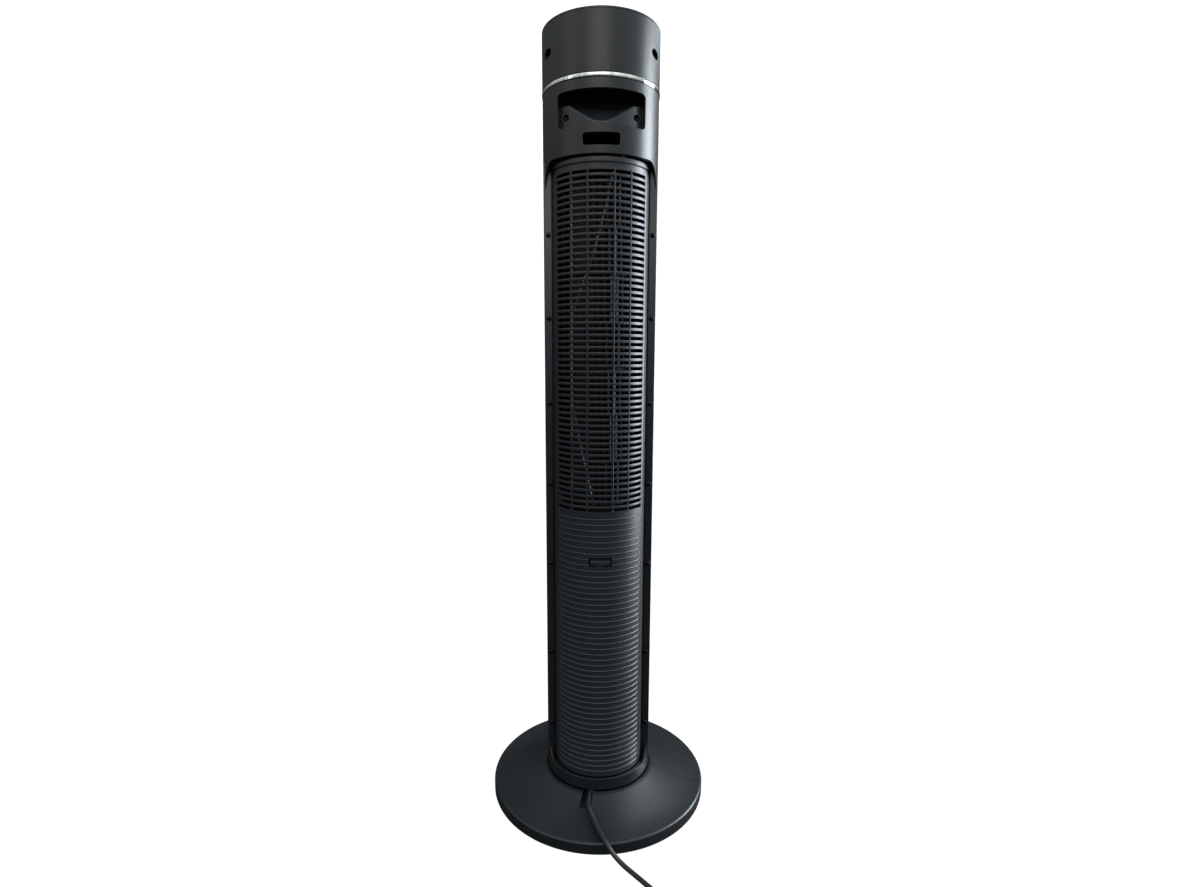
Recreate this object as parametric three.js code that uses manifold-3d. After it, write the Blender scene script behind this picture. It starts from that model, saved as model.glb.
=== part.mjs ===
// Tower fan: an upright oscillating column on a round two-piece base.
// Millimetres, +Z up, origin on the floor under the column's axis.
// The air outlet faces -Y and the intake grille, with the carrying recess above it, faces +Y.
import * as THREE from 'three';
import Module from 'manifold-3d';
import { mergeVertices } from 'three/addons/utils/BufferGeometryUtils.js';

const wasm = await Module();
wasm.setup();

// ---- driving dimensions -------------------------------------------------------------------
const GAP = 0.3;                    // clearance between neighbouring pieces
const BODY_R = 72.7;                // column radius
const WALL = 2.6;                   // column wall
const COLUMN_Z = [34.3, 930.7];     // column shells, bottom and top
const SPLIT_Y = 14;                 // plane where the front and rear shells meet
const STRIP_Y = 22;                 // face of the flat strips beside the rear grille
const OPEN_Z = [50, 848.5];         // rear opening, bottom and top
const HEAD_R = 73;
const HEAD_Z = [936.3, 1002.4];
const TOP_Z = 1005;
const BASE_R = 150;
const BASE_TURN = -11.5;            // the base stands turned under the column, degrees
const GRILLE_R = 61.5;
const GRILLE_Y = 7.5;               // centre of the rear grille's arc
const SLOT_ROWS = 56;
const SLOT_TOP = 830.2;             // middle of the highest slot row
const SLOT_PITCH = 7.43;
const SLOT_HIGH = 3.8;
const RIB_X = [16.3, 36.4];         // upright ribs of the rear grille, either side
const SLOT_X = 54.3;                // slot rows end here, either side
const FAN_Y = 6;                    // the impeller's axis stands at x 0, y FAN_Y
const FAN_R = 44.5;
const FAN_Z = [424, 832];
const BLADES = 16;
const SHAFT_R = 4;
const SIDE_SCREW_Z = [103, 209, 337, 447, 554, 663, 765.5];
const SIDE_SCREW_X = 65.4;
const HANDLE_Z = [880, 919];        // carrying recess
const HANDLE_X = 52;
const GRIP_LIP = 906.7;             // top of the recess's lower panel
const SCOOP_Z = 887;                // foot of the finger scoop in that panel
const POCKET_Z = [858, 871.4];      // remote-control slot
const POCKET_X = 21.8;
const OUTLET_Z = [410, 852];        // front outlet
const OUTLET_X = 46;
const BUTTON_X = [-27, -9, 9, 27];
const BUTTON_Y = -38;
const RING_TEETH = 32;              // fixed gear under the column
const PINION_TEETH = 8;
const MODULE = 2;
const GEAR_Z = [40.5, 46.5];
const CORD_R = 3;
const COIL = { x: -117, y: 268, inner: 24, outer: 42, z0: 1.4, z1: 19.4 };

const DEG = Math.PI / 180;
const group = new THREE.Group();

// ---- finishes -----------------------------------------------------------------------------
const finish = (color, roughness, metalness = 0) =>
  new THREE.MeshStandardMaterial({ color, roughness, metalness });
const satinBlack = finish(0x26282b, 0.45);
const darkBlack = finish(0x17191b, 0.5);
const chrome = finish(0xd8dade, 0.12, 1);
const steel = finish(0x8d9094, 0.35, 1);
const blackSteel = finish(0x1a1b1d, 0.4, 1);
const rubber = finish(0x121212, 0.9);
const tinted = finish(0x0a0c10, 0.08);
const whitePart = finish(0xd9d8d2, 0.5);
const boardGreen = finish(0x1f5a33, 0.6);

// ---- solids -------------------------------------------------------------------------------
function solidOf(geometry) {
  const bare = geometry.index ? geometry.toNonIndexed() : geometry.clone();
  bare.deleteAttribute('normal');
  bare.deleteAttribute('uv');
  const merged = mergeVertices(bare, 1e-4);
  const kept = [];
  const index = merged.index.array;
  for (let i = 0; i < index.length; i += 3) {
    const [a, b, c] = [index[i], index[i + 1], index[i + 2]];
    if (a !== b && b !== c && c !== a) kept.push(a, b, c);
  }
  const vertProperties = new Float32Array(merged.attributes.position.array);
  return new wasm.Manifold(new wasm.Mesh({ numProp: 3, vertProperties, triVerts: new Uint32Array(kept) }));
}

function geometryOf(solid) {
  const mesh = solid.getMesh();
  const geometry = new THREE.BufferGeometry();
  geometry.setAttribute('position', new THREE.BufferAttribute(new Float32Array(mesh.vertProperties), 3));
  geometry.setIndex(new THREE.BufferAttribute(new Uint32Array(mesh.triVerts), 1));
  geometry.computeVertexNormals();
  return geometry;
}

function box(x0, x1, y0, y1, z0, z1) {
  const geometry = new THREE.BoxGeometry(x1 - x0, y1 - y0, z1 - z0);
  geometry.translate((x0 + x1) / 2, (y0 + y1) / 2, (z0 + z1) / 2);
  return solidOf(geometry);
}

// A closed outline of [radius, height] points, counter-clockwise, turned about the Z axis.
function turned(outline, sides = 36) {
  const points = outline.map(([r, z]) => new THREE.Vector2(r, z));
  if (outline[0][0] > 0) points.push(points[0].clone());
  const geometry = new THREE.LatheGeometry(points, sides);
  geometry.rotateX(Math.PI / 2);
  return solidOf(geometry);
}

function rod(r, z0, z1, sides = 24) {
  return turned([[0, z0], [r, z0], [r, z1], [0, z1]], sides);
}

function ring(r0, r1, z0, z1, sides = 48) {
  return turned([[r1, z0], [r1, z1], [r0, z1], [r0, z0]], sides);
}

// A flat outline of [x, y] points raised from z0 to z1.
function raised(outline, z0, z1) {
  const shape = new THREE.Shape(outline.map(([x, y]) => new THREE.Vector2(x, y)));
  const geometry = new THREE.ExtrudeGeometry(shape, { depth: z1 - z0, bevelEnabled: false });
  geometry.translate(0, 0, z0);
  return solidOf(geometry);
}

// A rounded rectangle in the XZ plane carried along Y; the corners may be taller than they are wide.
function roundedCutter(halfX, z0, z1, radius, y0, y1, sides = 4, radiusX = radius) {
  const outline = [];
  const corners = [[halfX, z1, 0], [-halfX, z1, 90], [-halfX, z0, 180], [halfX, z0, 270]];
  for (const [x, z, start] of corners) {
    const cx = x - Math.sign(x) * radiusX;
    const cz = z === z1 ? z1 - radius : z0 + radius;
    for (let i = 0; i <= sides; i++) {
      const a = (start + 90 * i / sides) * DEG;
      outline.push(new THREE.Vector2(cx + radiusX * Math.cos(a), cz + radius * Math.sin(a)));
    }
  }
  const geometry = new THREE.ExtrudeGeometry(new THREE.Shape(outline), { depth: y1 - y0, bevelEnabled: false });
  geometry.rotateX(Math.PI / 2);
  geometry.translate(0, y1, 0);
  return solidOf(geometry);
}

// A wall that follows an arc in plan. Angles are measured from +Y towards +X.
function arcWall(r0, r1, angles, z0, z1, cy = 0) {
  const outer = angles.map((a) => [r1 * Math.sin(a * DEG), cy + r1 * Math.cos(a * DEG)]);
  const inner = angles.map((a) => [r0 * Math.sin(a * DEG), cy + r0 * Math.cos(a * DEG)]);
  const outline = outer.concat(inner.reverse());
  return raised(outline, z0, z1);
}

function spread(from, to, steps) {
  return Array.from({ length: steps + 1 }, (_, i) => from + (to - from) * i / steps);
}

// The solid turned in plan about the Z axis and moved.
function placed(solid, turn, x = 0, y = 0, z = 0) {
  return solid.rotate([0, 0, turn]).translate([x, y, z]);
}

function joined(solids) {
  return solids.reduce((whole, piece) => whole.add(piece));
}

function add(name, solid, material) {
  const mesh = new THREE.Mesh(geometryOf(solid), material);
  mesh.name = name;
  group.add(mesh);
}

// ---- base ---------------------------------------------------------------------------------
const RIM_Z = 17;
const RIM_IN = 148;
const SWEEP_IN = 79;
const SWEEP_RISE = 15.9;
const FOOT_R = 134;
const POST_R = 14;
const NOTCH = { x0: -8, x1: 6.5, y0: 72, y1: 99, floor: 23.2 };
const BASE_SCREWS = [{ name: 'front', angle: 180 }, { name: 'rear', angle: 40 }];

// The top of the base: a low rim that sweeps up, ever steeper, to the column.
function baseTop(r) {
  return RIM_Z + SWEEP_RISE * ((RIM_IN - r) / (RIM_IN - SWEEP_IN)) ** 2;
}

function polar(r, angle, z = 0) {
  return [r * Math.sin(angle * DEG), r * Math.cos(angle * DEG), z];
}

function baseShell() {
  const skin = 2.4;
  const radii = [RIM_IN, 128, 108, 92, SWEEP_IN];
  const outline = [[BASE_R - WALL, 1.5], [BASE_R, 1.5], [BASE_R, RIM_Z - 2]];
  for (const r of radii) outline.push([r, baseTop(r)]);
  outline.push([76.5, 31.4], [73.5, 31.4], [73.5, 23], [67, 23], [67, 20.3], [76.2, 20.3], [76.2, 28.6]);
  for (const r of [92, 115, RIM_IN]) outline.push([r - 1, baseTop(r) - skin]);
  outline.push([BASE_R - WALL, RIM_Z - 4]);
  return turned(outline, 36);
}

// Everything under the base's top surface.
function underTop() {
  const radii = [BASE_R - 2, 128, 108, 92, SWEEP_IN];
  const slope = radii.map((r) => [r, baseTop(r)]);
  return turned([[0, 0], [BASE_R - 2, 0], ...slope, [76.5, 31.4], [0, 31.4]], 36);
}

// Two halves meet on a seam through the axis; the rear one has a tray sunk into it for the mains lead.
function makeBaseHalves() {
  const bosses = [45, 135, 225, 315].map((a) => rod(9, 3.6, 16, 10).translate(polar(FOOT_R, a)));
  const screwHoles = BASE_SCREWS.map(({ angle }) => rod(2, 15, 24, 12).translate(polar(70, angle)));
  const whole = joined([baseShell(), ...bosses]).subtract(joined(screwHoles));
  const far = BASE_R + 5;
  const notch = box(NOTCH.x0, NOTCH.x1, NOTCH.y0, NOTCH.y1, NOTCH.floor, 40);
  const tray = box(NOTCH.x0 - 2, NOTCH.x1 + 2, 75, NOTCH.y1 + 2, NOTCH.floor - 2, 40).intersect(underTop());
  const rear = whole.intersect(box(-far, far, GAP / 2, far, 0, 60)).add(tray).subtract(notch);
  const front = whole.intersect(box(-far, far, -far, -GAP / 2, 0, 60));
  add('base_front_half', placed(front, BASE_TURN), satinBlack);
  add('base_rear_half', placed(rear, BASE_TURN), satinBlack);
}

function makeFeet() {
  [45, 135, 225, 315].forEach((angle, i) => {
    const foot = turned([[0, 0], [7.5, 0], [8.5, 1], [8.5, 3.3], [0, 3.3]], 12);
    add(`rubber_foot_${i + 1}`, placed(foot.translate(polar(FOOT_R, angle)), BASE_TURN), rubber);
  });
}

// The fixed turntable: a disc under the two halves, with the hollow post the column turns on.
function makeTurntable() {
  const bore = 8;
  const shoulder = 18;
  const disc = turned([[bore, 14], [74, 14], [74, 20], [63.5, 20], [63.5, 24.3], [50, 24.3], [50, 20],
    [shoulder, 20], [shoulder, 40.2], [POST_R, 40.2], [POST_R, 60], [bore, 60]], 28);
  const screwHoles = BASE_SCREWS.map(({ angle }) => rod(2, 10, 24, 12).translate(polar(70, angle)));
  add('turntable_base', placed(disc.subtract(joined(screwHoles)), BASE_TURN), darkBlack);
  for (const { name, angle } of BASE_SCREWS) {
    const screw = joined([rod(3.4, 11.4, 13.7, 8), rod(1.6, 13, 22.5, 6)]);
    add(`base_screw_${name}`, placed(screw.translate(polar(70, angle)), BASE_TURN), steel);
  }
  add('slide_ring', ring(52, 63, 24.6, 27.6, 28), darkBlack);
  add('pivot_retainer', ring(POST_R + GAP + 0.2, 20, 57.6, 59.4, 16), steel);
}

// ---- oscillation drive --------------------------------------------------------------------
const GEAR_SPACING = MODULE * (RING_TEETH + PINION_TEETH) / 2;

// Straight-sided teeth, cut thin so that they run with backlash, as [radius, angle] points.
function gearTeeth(teeth, first, last) {
  const pitchR = MODULE * teeth / 2;
  const step = 360 / teeth;
  const rootHalf = 0.25 * step;
  const tipHalf = 0.09 * step;
  const points = [];
  for (let k = first; k <= last; k++) {
    const a = k * step;
    points.push([pitchR - 1.25 * MODULE, a - rootHalf], [pitchR + 0.8 * MODULE, a - tipHalf]);
    points.push([pitchR + 0.8 * MODULE, a + tipHalf], [pitchR - 1.25 * MODULE, a + rootHalf]);
  }
  return points;
}

function makeDrive() {
  const reach = 6;
  const teeth = gearTeeth(RING_TEETH, -reach, reach);
  const edge = teeth[teeth.length - 1][1];
  const back = spread(edge, -edge, 12).map((a) => [POST_R + 0.6, a]);
  const sector = teeth.concat(back).map(([r, a]) => polar(r, a));
  add('fixed_gear_sector', placed(raised(sector, ...GEAR_Z), 180 + BASE_TURN), whitePart);

  const inMesh = 180 / PINION_TEETH + BASE_TURN * (1 + RING_TEETH / PINION_TEETH) - BASE_TURN;
  const wheel = raised(gearTeeth(PINION_TEETH, 0, PINION_TEETH - 1).map(([r, a]) => polar(r, a)), ...GEAR_Z);
  const stem = rod(3, GEAR_Z[1] - 1, 70, 10);
  add('drive_pinion', placed(joined([wheel, stem]), -inMesh, 0, -GEAR_SPACING), whitePart);

  const can = turned([[3.5, 57.6], [19, 57.6], [19, 74], [0, 74], [0, 72], [3.5, 72]], 20);
  add('oscillation_motor', can.translate([0, -GEAR_SPACING, 0]), steel);
}

// ---- column: deck and shells --------------------------------------------------------------
const REAR_EDGE = 79.2;             // the rear grille's arc ends this far round, either side

function makeDeck() {
  const plate = ring(POST_R + 0.8, 69.4, 54.3, 57.3, 32);
  const skirt = ring(54, 61, 27.9, 55, 32);
  const stemHole = rod(3.6, 50, 60, 16).translate([0, -GEAR_SPACING, 0]);
  const grilleRoom = arcWall(56.6, 80, spread(-80, 80, 12), 50, 60, GRILLE_Y);
  add('bottom_deck', joined([plate, skirt]).subtract(stemHole).subtract(grilleRoom), darkBlack);
}

function sideScrewHoles(r, y0, y1) {
  const holes = [];
  for (const z of SIDE_SCREW_Z) {
    for (const x of [-SIDE_SCREW_X, SIDE_SCREW_X]) {
      holes.push(rod(r, 0, y1 - y0, 8).rotate([-90, 0, 0]).translate([x, y0, z]));
    }
  }
  return joined(holes);
}

function makeFrontShell() {
  const reach = BODY_R + 5;
  const shell = ring(BODY_R - WALL, BODY_R, ...COLUMN_Z, 36);
  const half = shell.intersect(box(-reach, reach, -reach, SPLIT_Y - GAP / 2, 0, TOP_Z));
  const flanges = [-1, 1].map((side) => {
    const [a, b] = [60.5 * side, 70.6 * side];
    return box(Math.min(a, b), Math.max(a, b), 10.8, 13.2, 62, 900);
  });
  const outlet = roundedCutter(OUTLET_X, ...OUTLET_Z, 20, -90, -30);
  const whole = joined([half, ...flanges]).subtract(outlet).subtract(sideScrewHoles(1.9, 5, 16));
  add('front_shell', whole, satinBlack);
}

function makeFrontGrille() {
  const [z0, z1] = [OUTLET_Z[0] + 0.5, OUTLET_Z[1] - 0.5];
  const halfX = OUTLET_X - 0.5;
  const half = Math.asin(halfX / (BODY_R - 0.3)) / DEG + 1;
  const bars = 12;
  const step = 2 * half / bars;
  const panel = arcWall(BODY_R - 2.8, BODY_R - 0.3, spread(180 - half, 180 + half, bars), z0, z1);
  const outline = roundedCutter(halfX, z0, z1, 19.5, -90, -30);
  const bays = 5;
  const frame = 9;
  const pitch = (z1 - z0 - frame) / bays;
  const slots = [];
  for (let i = 1; i < bars - 1; i++) {
    for (let k = 0; k < bays; k++) {
      const z = z0 + frame + pitch * k;
      const slot = box(-2.6, 2.6, 60, 80, z, z + pitch - frame);
      slots.push(slot.rotate([0, 0, 180 + half - step * (i + 0.5)]));
    }
  }
  add('front_grille', panel.intersect(outline).subtract(joined(slots)), darkBlack);
}

// Rear shell: neck with the carrying recess and the remote-control slot, and the deep opening
// that holds the rear grille between two flat screw strips.
function makeRearHousing() {
  const reach = BODY_R + 5;
  const inner = BODY_R - WALL;
  const shell = ring(inner, BODY_R, ...COLUMN_Z, 36);
  const half = shell.intersect(box(-reach, reach, SPLIT_Y + GAP / 2, reach, 0, TOP_Z));
  const opening = roundedCutter(72.5, ...OPEN_Z, 30, STRIP_Y, 90, 6, 13);
  const grip = roundedCutter(HANDLE_X, ...HANDLE_Z, 5, 40, 90);
  const round = rod(inner + 0.5, 0, TOP_Z, 36);
  const behind = box(-reach, reach, STRIP_Y - 2.5, reach, 0, TOP_Z);
  const grilleRoom = rod(GRILLE_R + 1, 0, TOP_Z, 40).translate([0, GRILLE_Y, 0]);
  const shelves = joined([box(-reach, reach, 0, reach, OPEN_Z[0] - 2.5, OPEN_Z[0]),
    box(-reach, reach, 0, reach, OPEN_Z[1], OPEN_Z[1] + 2.5)]);
  const shelf = shelves.intersect(round).intersect(behind).subtract(grilleRoom);
  const strips = [-1, 1].map((side) => {
    const [a, b] = [61.4 * side, 70.8 * side];
    return box(Math.min(a, b), Math.max(a, b), STRIP_Y - 2.5, STRIP_Y, OPEN_Z[0] - 2.5, OPEN_Z[1] + 2.5);
  });
  const wall = 2;
  const sleeve = box(-POCKET_X - wall, POCKET_X + wall, -14, reach, POCKET_Z[0] - wall, POCKET_Z[1] + wall);
  const slot = box(-POCKET_X, POCKET_X, -12, reach, ...POCKET_Z);
  const open = half.subtract(opening).subtract(grip);
  const whole = joined([open, shelf, ...strips, sleeve.intersect(round)]).subtract(slot);
  add('rear_housing', whole.subtract(sideScrewHoles(1.9, 15, 30)), satinBlack);
}

// The carrying recess: a box behind the neck wall, deep for the fingers above, with a lower panel
// that two screws hold and that slopes back in its middle.
const GRIP_SCREW = { x: 42, z: 893 };
function makeHandlePocket() {
  const [z0, z1] = [HANDLE_Z[0] - 3.5, HANDLE_Z[1] + 10];
  const round = rod(BODY_R - WALL - GAP, z0, z1, 36);
  const block = box(-57, 57, 30, 80, z0, z1).intersect(round);
  const fingers = box(-54.5, 54.5, 32.5, 90, GRIP_LIP, z1 - 2.5);
  const panelX = 48.5;
  const sideGaps = [box(panelX, 54.5, 42, 90, HANDLE_Z[0] - 1, GRIP_LIP + 1),
    box(-54.5, -panelX, 42, 90, HANDLE_Z[0] - 1, GRIP_LIP + 1)];
  const front = box(-panelX - 1, panelX + 1, 30, 90, HANDLE_Z[0] - 1, GRIP_LIP + 1)
    .subtract(rod(66.5, 0, TOP_Z, 36));
  const under = box(-36, 36, 32.5, 90, z0 - 2, SCOOP_Z - 3).intersect(rod(64, 0, TOP_Z, 36));
  const holes = [-1, 1].map((side) => joined([rod(4, 0, 40, 16), rod(1.8, -20, 1, 12)])
    .rotate([-90, 0, 0]).translate([GRIP_SCREW.x * side, 46.5, GRIP_SCREW.z]));
  const pocket = block.subtract(fingers).subtract(joined(sideGaps)).subtract(front).subtract(under);
  add('handle_pocket', pocket.subtract(joined(holes)).subtract(gripScoop()), darkBlack);
}

// Where the lower panel slopes back: a ramp along X, kept inside a trapezium seen along Y.
function gripScoop() {
  const top = GRIP_LIP + 1;
  const ramp = raised([[SCOOP_Z, 66.5], [SCOOP_Z, 90], [top, 90], [top, 41]].map(([z, y]) => [-z, y]), -60, 60)
    .rotate([0, 90, 0]);
  const window = raised([[-15, -SCOOP_Z], [15, -SCOOP_Z], [40, -top], [-40, -top]], 30, 90).rotate([-90, 0, 0]);
  return ramp.intersect(window);
}

function makeRearGrille() {
  const edges = [-REAR_EDGE];
  for (const x of [-SLOT_X, -RIB_X[1], -RIB_X[0], 0, RIB_X[0], RIB_X[1], SLOT_X]) {
    edges.push(Math.asin(x / GRILLE_R) / DEG);
  }
  edges.push(REAR_EDGE);
  const [z0, z1] = [OPEN_Z[0] + 0.4, OPEN_Z[1] - 2];
  const panel = arcWall(GRILLE_R - 2.5, GRILLE_R, edges, z0, z1, GRILLE_Y);
  const outline = roundedCutter(GRILLE_R + 0.5, z0, z1, 11, 0, 90);
  const half = 0.9;
  const bays = [[-SLOT_X, -RIB_X[1] - half], [-RIB_X[1] + half, -RIB_X[0] - half],
    [-RIB_X[0] + half, RIB_X[0] - half], [RIB_X[0] + half, RIB_X[1] - half], [RIB_X[1] + half, SLOT_X]];
  const row = joined(bays.map(([a, b]) => box(a, b, 25, 90, SLOT_TOP - SLOT_HIGH / 2, SLOT_TOP + SLOT_HIGH / 2)));
  let slots = row;
  for (let k = 1; k < SLOT_ROWS; k++) slots = slots.add(row.translate([0, 0, -k * SLOT_PITCH]));
  add('rear_grille', panel.intersect(outline).subtract(slots), satinBlack);
}

function makeScrews() {
  for (const [side, name] of [[1, 'left'], [-1, 'right']]) {
    SIDE_SCREW_Z.forEach((z, i) => {
      const screw = joined([rod(3.1, 0.3, 2.1, 8), rod(1.4, -14, 0.8, 6)]).rotate([-90, 0, 0]);
      add(`side_screw_${name}_${i + 1}`, screw.translate([side * SIDE_SCREW_X, STRIP_Y, z]), blackSteel);
    });
    const grip = joined([rod(3.3, 0.3, 2.1, 8), rod(1.3, -14, 0.8, 6)]).rotate([-90, 0, 0]);
    add(`handle_screw_${name}`, grip.translate([side * GRIP_SCREW.x, 46.5, GRIP_SCREW.z]), blackSteel);
    const head = joined([rod(3.2, 0.3, 2.1, 8), rod(1.4, -12, 0.8, 6)]).rotate([-90, 0, 0]);
    add(`head_screw_${name}`, head.translate([side * HEAD_HOLE.x, HEAD_HOLE.y, HEAD_HOLE.z]), blackSteel);
  }
}

// ---- head ---------------------------------------------------------------------------------
const HEAD_HOLE = { x: 63.8, y: 23.7, z: 969.8 };
const LENS = { x: 22, y0: -20, y1: -5 };

function makeHead() {
  const tube = ring(HEAD_R - WALL, HEAD_R, ...HEAD_Z, 36);
  const alongY = (solid, side) => solid.rotate([-90, 0, 0])
    .translate([side * HEAD_HOLE.x, HEAD_HOLE.y, HEAD_HOLE.z]);
  const bosses = joined([-1, 1].map((side) => alongY(rod(5.6, -13.5, 0, 12), side)));
  const holes = joined([-1, 1].map((side) => alongY(rod(5, 0, 40, 16).add(rod(1.8, -20, 1, 8)), side)));
  const cap = tube.add(bosses.intersect(rod(HEAD_R - 1, ...HEAD_Z, 36)));
  add('head_cap', cap.subtract(holes), satinBlack);
  add('chrome_ring', ring(70, HEAD_R + 0.4, COLUMN_Z[1] + GAP, HEAD_Z[0] - GAP, 36), chrome);

  const under = TOP_Z - 4.7;
  const field = TOP_Z - 2;
  const rim = HEAD_Z[1] + GAP;
  let panel = turned([[0, under], [66, under], [66, under - 2.3], [69.8, under - 2.3], [69.8, rim], [HEAD_R, rim],
    [HEAD_R, TOP_Z - 0.6], [HEAD_R - 0.6, TOP_Z], [68, TOP_Z], [66.5, field], [0, field]], 36);
  panel = panel.subtract(box(-LENS.x - GAP, LENS.x + GAP, LENS.y0 - GAP, LENS.y1 + GAP, 990, 1010));
  for (const x of BUTTON_X) panel = panel.subtract(rod(6.4, 990, 1010, 14).translate([x, BUTTON_Y, 0]));
  add('top_panel', panel, satinBlack);
  add('display_lens', box(-LENS.x, LENS.x, LENS.y0, LENS.y1, under + 0.2, field - 0.1), tinted);
  add('control_board', box(-46, 46, -48, 4, under - 12.3, under - 10.7), boardGreen);
  BUTTON_X.forEach((x, i) => {
    const button = turned([[0, under - 8.3], [2, under - 8.3], [2, under - 2.8], [7.4, under - 2.8],
      [7.4, under - 0.5], [5.8, under - 0.5], [5.8, field + 1.4], [0, field + 1.4]], 14);
    add(`button_${['power', 'speed', 'swing', 'timer'][i]}`, button.translate([x, BUTTON_Y, 0]), darkBlack);
  });
}

// ---- air mover ----------------------------------------------------------------------------
// A thin wall of even thickness along a line in plan.
function wallAlong(line, thickness, z0, z1) {
  const left = [];
  const right = [];
  line.forEach(([x, y], i) => {
    const [ax, ay] = line[Math.max(i - 1, 0)];
    const [bx, by] = line[Math.min(i + 1, line.length - 1)];
    const length = Math.hypot(bx - ax, by - ay);
    const [nx, ny] = [-(by - ay) / length * thickness / 2, (bx - ax) / length * thickness / 2];
    left.push([x + nx, y + ny]);
    right.push([x - nx, y - ny]);
  });
  return raised(left.concat(right.reverse()), z0, z1);
}

// The scroll: two walls from beside the impeller to the outlet, between two end plates.
function makeAirGuide() {
  const [z0, z1] = [FAN_Z[0] - 10, FAN_Z[1] + 9];
  const wallTo = (side, growth) => {
    const line = spread(75, 140, 6).map((a, i) => {
      const r = FAN_R + 4 + growth * i / 6;
      return [side * r * Math.sin(a * DEG), FAN_Y + r * Math.cos(a * DEG)];
    });
    line.push([side * 43, -52]);
    return wallAlong(side > 0 ? line : line.reverse(), 2, z0, z1);
  };
  const plate = raised([[-43, -52], [43, -52], [43, 0], [-43, 0]], 0, 3)
    .add(rod(50.4, 0, 3, 32).translate([0, FAN_Y, 0]));
  const lower = plate.subtract(rod(12.5, -1, 4, 20).translate([0, FAN_Y, 0])).translate([0, 0, z0]);
  const upper = plate.subtract(rod(10, -1, 4, 20).translate([0, FAN_Y, 0])).translate([0, 0, z1 - 3]);
  add('air_guide', joined([lower, upper, wallTo(1, 0), wallTo(-1, 7)]), darkBlack);
}

function makeImpeller() {
  const [z0, z1] = FAN_Z;
  const sections = 3;
  const discs = spread(z0, z1 - 2, sections).map((z, i) => {
    const inner = i === 0 || i === sections ? SHAFT_R + GAP : 30;
    return ring(inner, FAN_R, z, z + 2, 24);
  });
  const hubs = [ring(SHAFT_R + GAP, 9, z0, z0 + 14, 12), ring(SHAFT_R + GAP, 9, z1 - 14, z1, 12)];
  const blades = spread(0, 360, BLADES).slice(0, -1).map((a) => {
    const outline = [[35, a], [35, a + 2], [FAN_R - 0.4, a + 15.6], [FAN_R - 0.4, a + 14]];
    return raised(outline.map(([r, angle]) => polar(r, angle)).reverse(), z0 + 1, z1 - 1);
  });
  const wheel = joined([...discs, ...hubs, ...blades]);
  add('impeller', wheel.translate([0, FAN_Y, 0]), darkBlack);
  add('drive_shaft', rod(SHAFT_R, 350, z0 + 13, 10).translate([0, FAN_Y, 0]), steel);
  add('top_journal', rod(SHAFT_R, z1 - 13, z1 + 12, 10).translate([0, FAN_Y, 0]), steel);
}

function makeMotor() {
  const can = turned([[36, 352], [36, 407.3], [43, 407.3], [43, 409.6], [12, 409.6], [12, 413],
    [SHAFT_R + 0.5, 413], [SHAFT_R + 0.5, 352]], 24);
  add('fan_motor', can.translate([0, FAN_Y, 0]), steel);
  const front = rod(69.4, 404, 407, 40).intersect(box(-80, 80, -80, 10, 400, 410));
  const round = rod(57, 404, 407, 32).translate([0, FAN_Y, 0]);
  const seat = rod(36.8, 400, 410, 24).translate([0, FAN_Y, 0]);
  add('motor_bracket', front.add(round).subtract(seat), steel);
  const bush = turned([[9.6, 836], [9.6, 841.3], [13, 841.3], [13, 843.3], [SHAFT_R + 0.4, 843.3],
    [SHAFT_R + 0.4, 836]], 16);
  add('bearing_bush', bush.translate([0, FAN_Y, 0]), steel);
}

// ---- cables -------------------------------------------------------------------------------
function cable(route, radius, sides, steps) {
  const curve = new THREE.CatmullRomCurve3(route.map((p) => new THREE.Vector3(...p)));
  const section = spread(0, 360, sides).slice(0, -1);
  const shape = new THREE.Shape(section.map((a) => new THREE.Vector2(...polar(radius, -a).slice(0, 2))));
  return solidOf(new THREE.ExtrudeGeometry(shape, { steps, bevelEnabled: false, extrudePath: curve }));
}

function makeHarness() {
  const route = [[8, 52, 425], [14, 56.5, 455], [24, 55.5, 500], [33, 51, 550], [37, 48.5, 600],
    [37.5, 48.5, 635], [36.3, 49.3, 656], [31.5, 52.8, 675], [25.5, 56, 694], [16, 59.5, 721], [8.7, 61, 741],
    [0, 61.5, 772], [-7, 61, 800], [-13, 60.3, 828], [-28, 53, 853], [-33, 40, 862], [-33, 24, 869],
    [-30, 14, 885], [-26, 8, 930], [-24, 0, 978]];
  add('wire_harness', cable(route, 1.5, 5, 32), rubber);
}

const CORD_ROUTE = [[13.85, 85.4, 28.3], [14.6, 90.5, 28.9], [14.2, 96.5, 29], [12.3, 103, 27.8],
  [9.6, 109.5, 25.9], [6.9, 116.5, 24.1], [3.9, 124.5, 22.7], [0.4, 133, 21.6], [-3.7, 142.5, 20.8],
  [-7.5, 149.8, 19.7], [-11.5, 155, 17], [-15.6, 159, 13.2], [-20.4, 162.5, 9.2], [-26.6, 167.4, 5.7],
  [-33.5, 173.8, 3.8], [-40.7, 181.2, 3.3], [-48, 189.4, 3.3], [-55.5, 197.9, 3.3], [-62.8, 206.2, 3.3],
  [-69.4, 214.6, 3.4], [-74.6, 223, 3.7], [-77.3, 231.5, 4.1], [-78, 239, 4.4], [-78, 246, 4.4]];

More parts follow.
